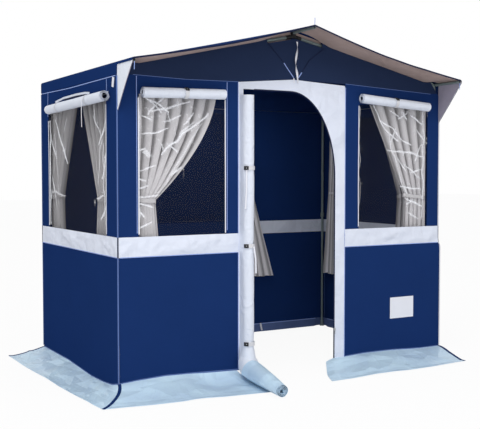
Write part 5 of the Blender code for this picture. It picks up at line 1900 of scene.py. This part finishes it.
@dataclass
class GroundSkirt:
    """Light blue mud skirt that falls from the walls and lies on the ground."""

    left: float = 0.265
    right: float = 0.050
    rear: float = 0.300
    front: float = 0.320
    step: float = 0.016
    rows: int = 22
    piping: float = 0.020
    # Lowest that the cloth's middle lies, and the height of the piping over it
    lowest: float = 0.0022
    piping_up: float = 0.0022
    # The skirt lies flat where the rolled door's tail swings over it: first columns, calm up to rough
    calm: tuple[int, int] = (12, 30)

    def columns(self) -> tuple[Array, Array, list[int]]:
        """Ends of the skirt's columns in plan.

        Returns:
            Points on the wall line, points on the outer edge, and the numbers of the corner columns.
        """
        seam = -TENT.cloth / 2
        door_left, door_right = TENT.surround_left - 0.015, TENT.door_right + 0.004
        x0, x1, y0, y1 = TENT.left - seam, TENT.right + seam, TENT.front - seam, TENT.rear + seam
        wall = [(TENT.left + door_left, y0), (x0, y0), (x0, y1), (x1, y1), (x1, y0),
                (TENT.left + door_right, y0)]
        low = lambda along, out: (TENT.left + along, TENT.front - out)
        outer = [low(door_left + 0.002, self.front + 0.080), low(0.054 - self.left, self.front - 0.035),
                 (TENT.left - self.left, TENT.rear), (TENT.right + self.right, TENT.rear + self.rear),
                 low(TENT.width - 0.040, self.front + 0.015), low(door_right - 0.254, self.front + 0.030)]
        wall, outer = np.array(wall), np.array(outer)
        # The corner at the rear left is folded in: share of the rear leg, along and out
        fold = ((0.0, -self.left, 0.0), (1 / 12, 0.10, 0.040), (2 / 12, 0.204, self.rear),
                (1.0, TENT.width + self.right, self.rear))
        inner, edges, corners = [], [], []
        for leg in range(5):
            length = max(np.linalg.norm(wall[leg + 1] - wall[leg]),
                         np.linalg.norm(outer[leg + 1] - outer[leg]))
            corners.append(len(inner))
            for share in np.linspace(0, 1, round(length / self.step) + 1)[: None if leg == 4 else -1]:
                edge = outer[leg] + (outer[leg + 1] - outer[leg]) * share
                if leg == 0:
                    edge[1] -= 0.030 * math.sin(math.pi * share) * (share - 0.75)
                if leg == 1:
                    edge[0] = TENT.left - self.left + 0.054 * (1 - share) ** 2
                if leg == 2:
                    shares, *axes = zip(*fold)
                    away = [np.interp(share, shares, axis) for axis in axes]
                    edge = np.array([TENT.left, TENT.rear]) + away
                if leg == 3:
                    edge[0] = TENT.right + self.right - (0.040 + self.right) * share**6
                inner.append(wall[leg] + (wall[leg + 1] - wall[leg]) * share)
                edges.append(edge)
        corners.append(len(inner) - 1)
        return np.array(inner), np.array(edges), corners

    def surface(self) -> tuple[Array, Array, list[int]]:
        """The skirt's grid.

        Returns:
            The points, the cloth metres, and the numbers of the corner columns.
        """
        inner, outer, corners = self.columns()
        number = np.arange(len(inner))
        share = np.linspace(0, 1, self.rows)[:, None] ** 1.15
        walls = [(Wall.FRONT, 0), (Wall.LEFT, 1), (Wall.REAR, 0), (Wall.RIGHT, 1), (Wall.FRONT, 0)]
        legs = np.searchsorted(corners[1:-1], number, side="right")
        bulged = inner + stack(0.020 * smooth(inner[:, 0], 1.10, TENT.right), 0.0)
        start = np.array([TENT.left, TENT.front])
        seam = np.array([float(seam_height(walls[leg][0], (bulged[i] - start)[walls[leg][1]]))
                         for i, leg in enumerate(legs)])
        inner = bulged
        flat = inner[None] + (outer - inner)[None] * share[..., None]
        run = run_length((inner + outer) / 2)
        width = np.linalg.norm(outer - inner, axis=1)
        last = smooth(number, len(inner) - 16, len(inner) - 1)
        flat[..., 0] -= last * np.interp(share, [0, 0.1, 0.6, 1], [0.0, 0.068, 0.055, 0.015])
        first = 1 - smooth(number, 0, 14)
        flat[..., 0] += first * np.interp(share, [0, 0.12, 0.3, 0.8, 1], [0.0, 0.034, 0.044, 0.050, 0.034])
        calm = 1 - smooth(number, *self.calm)
        fall = (seam - TENT.fit) * (1 - share) ** (2.2 + 5.0 * calm)
        along = np.broadcast_to(run, (self.rows, len(run)))
        ripple = FOLD_NOISE.layered(along * 3.4, share * 1.1 + along * 0.7)
        crease = CREASE_NOISE.creased(along * 3.2, share * 1.1 + 0.5 * along, 1)
        lift = np.sin(math.pi * share**0.8) * (0.008 + 0.010 * ripple + 0.006 * crease)
        rim = smooth(share, 0.85, 1.0) * (0.004 + 0.005 * ripple)
        z = np.maximum(fall + (np.clip(lift, 0, 0.030) + rim) * (1 - np.maximum(first, calm)), self.lowest)
        points = np.concatenate([flat, z[..., None]], axis=-1)
        return points, stack(along, share * width[None, :]), corners

    def build(self) -> None:
        """Makes the skirt and the piping on three of its corners."""
        points, uv, corners = self.surface()
        length = float(uv[0, -1, 0])
        Sheet("ground_skirt", points, uv, SKIRT, toward=(0, 0, 1), flat=(length, grid_area(points) / length),
              held="laid", rests_on=["front_wall"], replaces=["mud_skirt"]).build()
        for label, column, bow in (("front_left", corners[1], 2.5), ("rear_left", corners[2], 0.0),
                                   ("front_right", corners[4], 0.0)):
            place = column - bow * np.sin(math.pi * np.linspace(0, 1, self.rows))
            low = np.floor(place).astype(int)
            rows, part = np.arange(self.rows), (place - low)[:, None]
            after = np.minimum(low + 1, points.shape[1] - 1)
            path = points[rows, low] * (1 - part) + points[rows, after] * part
            across = unit(np.cross(np.gradient(path, axis=0), (0, 0, 1)))
            strip(f"skirt_piping_{label}", path + np.array([0, 0, self.piping_up]), across, self.piping, NAVY,
                  toward=(0, 0, 1), probe=(0, 12), held="laid", rests_on=["ground_skirt"])


# Trims


@dataclass
class Trims:
    """Piping, seams, tabs, the bare label patch and the bands that show inside."""

    # Each strip: wall, finish and, in millimetres, distance out, width and points as (along, height)
    strips: dict = field(default_factory=lambda: {
        "gable_seam_left": (Wall.FRONT, PIPING, 2, 3.5, (100, 1911), (450, 1901), (820, 1905)),
        "gable_seam_right": (Wall.FRONT, PIPING, 2, 3.5, (1660, 1933), (2420, 1898)),
        "gable_cord_left": (Wall.FRONT, NAVY_TAPE, 6, 5, (1033, 2168), (1160, 2044)),
        "gable_tape_left": (Wall.FRONT, PALE_PIPING, 6, 6, (1160, 2044), (1178, 2020), (1236, 1952)),
        "gable_cord_right": (Wall.FRONT, NAVY_TAPE, 6, 5, (1480, 2160), (1357, 2072), (1300, 1990)),
        "gable_tape_right": (Wall.FRONT, PALE_PIPING, 6, 6, (1300, 1990), (1273, 1954)),
        "eave_seam_left": (Wall.LEFT, PALE_PIPING, 3, 5, (20, 1902), (420, 1899), (840, 1895), (1430, 1903)),
        "eave_tab_left": (Wall.LEFT, WHITE_TAPE, 5, 32, (48, 1895), (62, 1838)),
        "window_seam_left_1": (Wall.LEFT, PALE_PIPING, 3, 5, (165, 1893), (165, 1780)),
        "window_seam_left_2": (Wall.LEFT, PALE_PIPING, 3, 6, (1300, 1899), (1300, 1730)),
        "window_seam_front_left_1": (Wall.FRONT, PALE_PIPING, 2, 4, (121, 1904), (121, 965)),
        "window_seam_front_left_2": (Wall.FRONT, PALE_PIPING, 2, 4, (738, 1898), (738, 965)),
        "window_edge_front_left_1": (Wall.FRONT, WHITE_TAPE, 2, 8, (133, 958), (133, 1776)),
        "window_edge_front_left_2": (Wall.FRONT, WHITE_TAPE, 2, 7, (726, 950), (724, 1786)),
        "window_edge_front_right_1": (Wall.FRONT, WHITE_TAPE, 2, 6, (1775, 960), (1775, 1790)),
        "window_edge_left_1": (Wall.LEFT, WHITE_TAPE, 2, 9, (184, 955), (184, 1745)),
        "window_edge_left_2": (Wall.LEFT, WHITE_TAPE, 2, 12, (1296, 955), (1296, 1700)),
        "band_edge_front_left": (Wall.FRONT, PALE_PIPING, 4.5, 5, (10, 822), (810, 822)),
        "band_edge_left": (Wall.LEFT, PALE_PIPING, 4.5, 5, (10, 822), (1440, 822)),
        "band_edge_front_right": (Wall.FRONT, PALE_PIPING, 4.5, 5, (1665, 822), (2490, 822)),
        "surround_seam_left": (Wall.FRONT, PALE_PIPING, 3.5, 4, (818, 70), (818, 1900)),
        "surround_seam_right": (Wall.FRONT, PALE_PIPING, 3.5, 4, (1659, 70), (1659, 1910)),
    })
    patch: tuple[float, float, float, float] = (2.060, 2.273, 0.294, 0.444)
    cloth: float = 0.0008
    # Where the band's back starts on the rear wall: only the door shows it
    inner_start: float = 1.58
    # Distance from a corner at which the hem and the skirt's inner edge start
    inner_corner: float = 0.012
    inner_top: float = 0.066

    def make_seam_piping(self) -> None:
        """Slate blue piping where the skirt is welded to the walls."""
        for label, wall, start, end in (
            ("front_left", Wall.FRONT, 0.0, TENT.surround_left),
            ("front_right", Wall.FRONT, TENT.surround_right, TENT.width),
            ("left", Wall.LEFT, 0.0, TENT.depth), ("right", Wall.RIGHT, 0.0, TENT.depth),
            ("rear", Wall.REAR, 0.0, TENT.width)
        ):
            along = ticks(0.03, start, end)
            marks = stack(along, seam_height(wall, along) + 0.002)
            lay_strip(f"seam_piping_{label}", wall, marks, 0.0030, 0.010, PIPING)

    def make_corners(self) -> None:
        """Piping down the four corners, dark where the band crosses it."""
        parts = (("lower", 0.062, TENT.band_bottom, PIPING),
                 ("middle", TENT.band_bottom, TENT.band_top, NAVY_TAPE),
                 ("upper", TENT.band_top, 1.90, PIPING))
        for label, x, way, y, back in (
            ("left", TENT.left, -1.0, TENT.front, -1.0), ("right", TENT.right, 1.0, TENT.front, -1.0),
            ("rear_left", TENT.left, -1.0, TENT.rear, 1.0), ("rear_right", TENT.right, 1.0, TENT.rear, 1.0)
        ):
            outward = np.array([way, back, 0.0]) / math.sqrt(2)
            for part, low, high, finish in parts:
                z = ticks(0.03, low, high)
                path = stack(x, y, z) + outward * 0.0042
                path[:, 0] += bulge(path)
                strip(f"corner_piping_{label}_{part}", path, np.cross(outward, (0, 0, 1)), 0.008, finish,
                      toward=outward, thickness=0.0025, rests_on=["front_wall"])

    def make_patch(self) -> None:
        """Bare label patch with a raised hem, sewn on the lower right of the front wall."""
        left, right, low, high = self.patch
        along, height = np.meshgrid(ticks(0.003, left, right), ticks(0.003, low, high))
        edge = np.minimum.reduce([along - left, right - along, height - low, high - height])
        out = 0.0046 - 0.0008 * smooth(edge, 0.006, 0.009) - 0.0008 * smooth(0.003 - edge, 0.0, 0.003)
        out = out + 0.0006 * CLOTH_NOISE.layered(along * 14, height * 14)
        points, uv = wall_grid(Wall.FRONT, along, height, out)
        Sheet("label_patch", points, uv, WHITE_TAPE, slot=Slot.WHITE, toward=Wall.FRONT.outward,
              thickness=self.cloth, rests_on=["front_wall"]).build()

    def make_gable_tape(self) -> None:
        """White tape that hangs twisted from the ridge joint down the gable, with a knot and a tab."""
        share = np.linspace(0, 1, 60)
        path = Wall.FRONT.place(1.248 + 0.004 * np.sin(share * 9), 0.022 + 0.004 * np.cos(share * 7),
                                2.185 - 0.27 * share)
        turn = 2.4 * math.pi * share
        across = stack(np.cos(turn), np.sin(turn), 0.0)
        strip("gable_tape", path, across, 0.013, WHITE_TAPE, toward=(0, -1, 0), probe=(0, 1), held="hung",
              rests_on=["ridge_joint_front"])
        for number, (x, z) in enumerate(((1.236, 1.948), (1.266, 1.950))):
            lay_strip(f"gable_tab_{number}", Wall.FRONT, ((x, z), (x + 0.004, z - 0.030)), 0.007, 0.009,
                      WHITE_TAPE)

    def make_inner_bands(self) -> None:
        """The band's back, the lower hem and the skirt's inner edge, as they show inside through the door."""
        for wall in (Wall.REAR, Wall.RIGHT, Wall.LEFT):
            label, inward = wall.value, -wall.outward
            start = self.inner_start if wall is Wall.REAR else 0.004
            points, uv = wall_grid(wall, ticks(0.03, start, wall.length - 0.004), ticks(0.02, 0.824, 0.929),
                                   -TENT.cloth - 0.0012)
            Sheet(f"inner_band_{label}", points, uv, WHITE, toward=inward, thickness=self.cloth,
                  rests_on=[f"{label}_wall"]).build()
            along, share = np.meshgrid(ticks(0.02, self.inner_corner, wall.length - self.inner_corner),
                                       np.linspace(0, 1, 12))
            free = smooth(np.minimum(along, wall.length - along), 0.06, 0.12)
            reach = 0.006 + free * (0.024 * share**1.4 + 0.004 * share * FOLD_NOISE(along * 6, share * 2))
            height = self.inner_top * (1 - share) + 0.003
            # The skirt's inner edge is drawn slate as painted shade.
            Sheet(f"inner_skirt_{label}", wall.place(along, -reach, height), stack(along, height + reach),
                  SKIRT_PAINTED_SHADE, toward=(0, 0, 1), thickness=0.0012, held="laid",
                  rests_on=[f"{label}_wall"]).build()
            points, uv = wall_grid(wall, ticks(0.03, self.inner_corner, wall.length - self.inner_corner),
                                   ticks(0.02, 0.060, 0.112), -TENT.cloth - 0.0014)
            Sheet(f"inner_hem_{label}", points, uv, NAVY, toward=inward, thickness=self.cloth,
                  rests_on=[f"{label}_wall"]).build()
            path = wall.place(ticks(0.03, 0.080, wall.length - 0.080), -0.0088, 0.0655)
            strip(f"inner_seam_{label}", path, (0, 0, 1), 0.007, PALE_PIPING, toward=inward,
                  thickness=self.cloth, rests_on=[f"inner_skirt_{label}"])
        path = Wall.REAR.place(np.full(6, 1.855), -np.linspace(0.013, 0.037, 6), np.linspace(0.070, 0.012, 6))
        strip("inner_tab", path, (1, 0, 0), 0.016, WHITE_TAPE, toward=(0, 0, 1), held="laid",
              rests_on=["inner_skirt_rear"])

    def build(self) -> None:
        """Makes all trims."""
        for name, (wall, finish, out, width, *marks) in self.strips.items():
            lay_strip(name, wall, np.array(marks) / 1000, out / 1000, width / 1000, finish)
        self.make_seam_piping()
        self.make_corners()
        self.make_patch()
        self.make_gable_tape()
        self.make_inner_bands()


# Frame


@dataclass
class FrameTubes:
    """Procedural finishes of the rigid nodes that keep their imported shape."""

    finishes: tuple = (("leg_", STEEL), ("rafter_", STEEL), ("ridge_pole", STEEL), ("eave_pole", STEEL),
                       ("visor_arm", STEEL), ("curtain_wire", BRIGHT_STEEL), ("ridge_joint", PLASTIC),
                       ("zip_slider", BRIGHT_STEEL), ("door_buckle", PLASTIC), ("cover_buckle", PLASTIC))

    def build(self) -> None:
        """Gives each node its material, keeping separate materials of its slots apart."""
        for name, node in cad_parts.items():
            for start, finish in self.finishes:
                if name.startswith(start):
                    for slot in node.material_slots:
                        dark = slot.material is not None and "black" in slot.material.name.lower()
                        slot.material = (PLASTIC if dark else finish).material()
                    log.info("finished %s", name)


# Studio


@dataclass
class Studio:
    """Pale floor, soft light and the photograph's camera."""

    position: tuple[float, float, float] = (-3.1410, -5.531, 1.3184)
    yaw: float = math.radians(29.84)
    pitch: float = math.radians(-2.574)
    focal_px: float = 891.54
    sensor: float = 36.0
    floor_size: float = 80.0
    floor_glow: float = 0.93
    world_light: float = 0.70
    aim: tuple[float, float, float] = (0.1, 0.0, 1.0)
    # Each lamp: place, size across and power in watts
    lamps: dict = field(default_factory=lambda: {
        "key": ((-3.6, -4.8, 7.0), 4.0, 235.0),
        "fill": ((-2.2, -6.2, 1.7), 2.0, 42.0),
        "cabin": ((0.1, 0.15, 2.06), 0.8, 5.2),
    })

    def make_floor(self) -> None:
        """Floor that looks near white to the camera and keeps the shadow."""
        bpy.ops.object.select_all(action="DESELECT")
        bpy.ops.mesh.primitive_plane_add(size=self.floor_size, location=(0, 0, 0))
        floor = bpy.context.active_object
        floor.name = "floor"
        bpy.ops.object.transform_apply(location=True, rotation=True, scale=True)
        material = bpy.data.materials.new("studio floor")
        material.use_nodes = True
        tree = material.node_tree
        shader = tree.nodes["Principled BSDF"]
        shader.inputs["Base Color"].default_value = linear("F2F2F4")
        shader.inputs["Roughness"].default_value = 0.9
        shader.inputs["Specular IOR Level"].default_value = 0.1
        glow = add_node(tree, "Emission", {"Color": (1, 1, 1, 1), "Strength": 1.0})
        rays = add_node(tree, "LightPath").node.outputs
        seen = add_node(tree, "Math", {0: rays["Is Camera Ray"], 1: rays["Is Transmission Ray"]},
                        operation="MAXIMUM")
        share = add_node(tree, "Math", {0: seen, 1: self.floor_glow}, operation="MULTIPLY")
        blend = add_node(tree, "MixShader", {0: share, 1: shader.outputs[0], 2: glow})
        tree.links.new(blend, tree.nodes["Material Output"].inputs["Surface"])
        floor.data.materials.append(material)
        floor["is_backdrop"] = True

    def make_world(self) -> None:
        """White surround for camera and reflections, a softer one for light."""
        world = bpy.data.worlds.new("studio")
        bpy.context.scene.world = world
        world.use_nodes = True
        tree = world.node_tree
        rays = add_node(tree, "LightPath").node.outputs
        seen = add_node(tree, "Math", {0: rays["Is Camera Ray"], 1: rays["Is Glossy Ray"]},
                        operation="MAXIMUM")
        seen = add_node(tree, "Math", {0: seen, 1: rays["Is Transmission Ray"]}, operation="MAXIMUM")
        strength = add_node(tree, "MapRange", {"Value": seen, "To Min": self.world_light, "To Max": 1.0})
        background = tree.nodes["Background"]
        background.inputs["Color"].default_value = (1, 1, 1, 1)
        tree.links.new(strength, background.inputs["Strength"])

    def make_lamps(self) -> None:
        """A large soft lamp from the upper left, a weak one through the door and one in the cabin."""
        for name, (place, size, power) in self.lamps.items():
            data = bpy.data.lights.new(name, "AREA")
            data.shape, data.size, data.energy = "DISK", size, power
            lamp = bpy.data.objects.new(name, data)
            bpy.context.scene.collection.objects.link(lamp)
            lamp.visible_camera = False
            lamp.location = place
            lamp.rotation_euler = (Vector(self.aim) - Vector(place)).to_track_quat("-Z", "Y").to_euler()

    def make_camera(self) -> None:
        """Camera at the photograph's viewpoint."""
        data = bpy.data.cameras.new("camera")
        data.sensor_width = self.sensor
        data.lens = self.focal_px * self.sensor / IMAGE_SIZE[0]
        camera = bpy.data.objects.new("camera", data)
        bpy.context.scene.collection.objects.link(camera)
        heading = Vector((math.sin(self.yaw) * math.cos(self.pitch),
                          math.cos(self.yaw) * math.cos(self.pitch), math.sin(self.pitch)))
        camera.location = self.position
        camera.rotation_mode = "QUATERNION"
        camera.rotation_quaternion = heading.to_track_quat("-Z", "Y")
        data.clip_start, data.clip_end = 0.05, 200.0
        bpy.context.scene.camera = camera

    def build(self) -> None:
        """Sets up the studio."""
        bpy.context.scene.view_settings.view_transform = "Standard"
        self.make_floor()
        self.make_world()
        self.make_lamps()
        self.make_camera()


def write_sizes() -> None:
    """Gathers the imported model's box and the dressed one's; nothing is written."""
    boxes = {"cad": [list(corner) for corner in CAD_BOX], "visual": [list(corner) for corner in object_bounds()]}


def main() -> None:
    """Builds the studio and the tent, piece by piece."""
    for part in (Studio(), FrameTubes(), Roof(), FrontWall(), PlainWalls(), WaistBand(), Windows(),
                 ClosedCovers(), RolledCovers(), RolledDoor(), Curtains(), GroundSkirt(), Trims()):
        part.build()
        log.info("built %s", type(part).__name__)
    write_sizes()


if __name__ == "__main__":
    main()
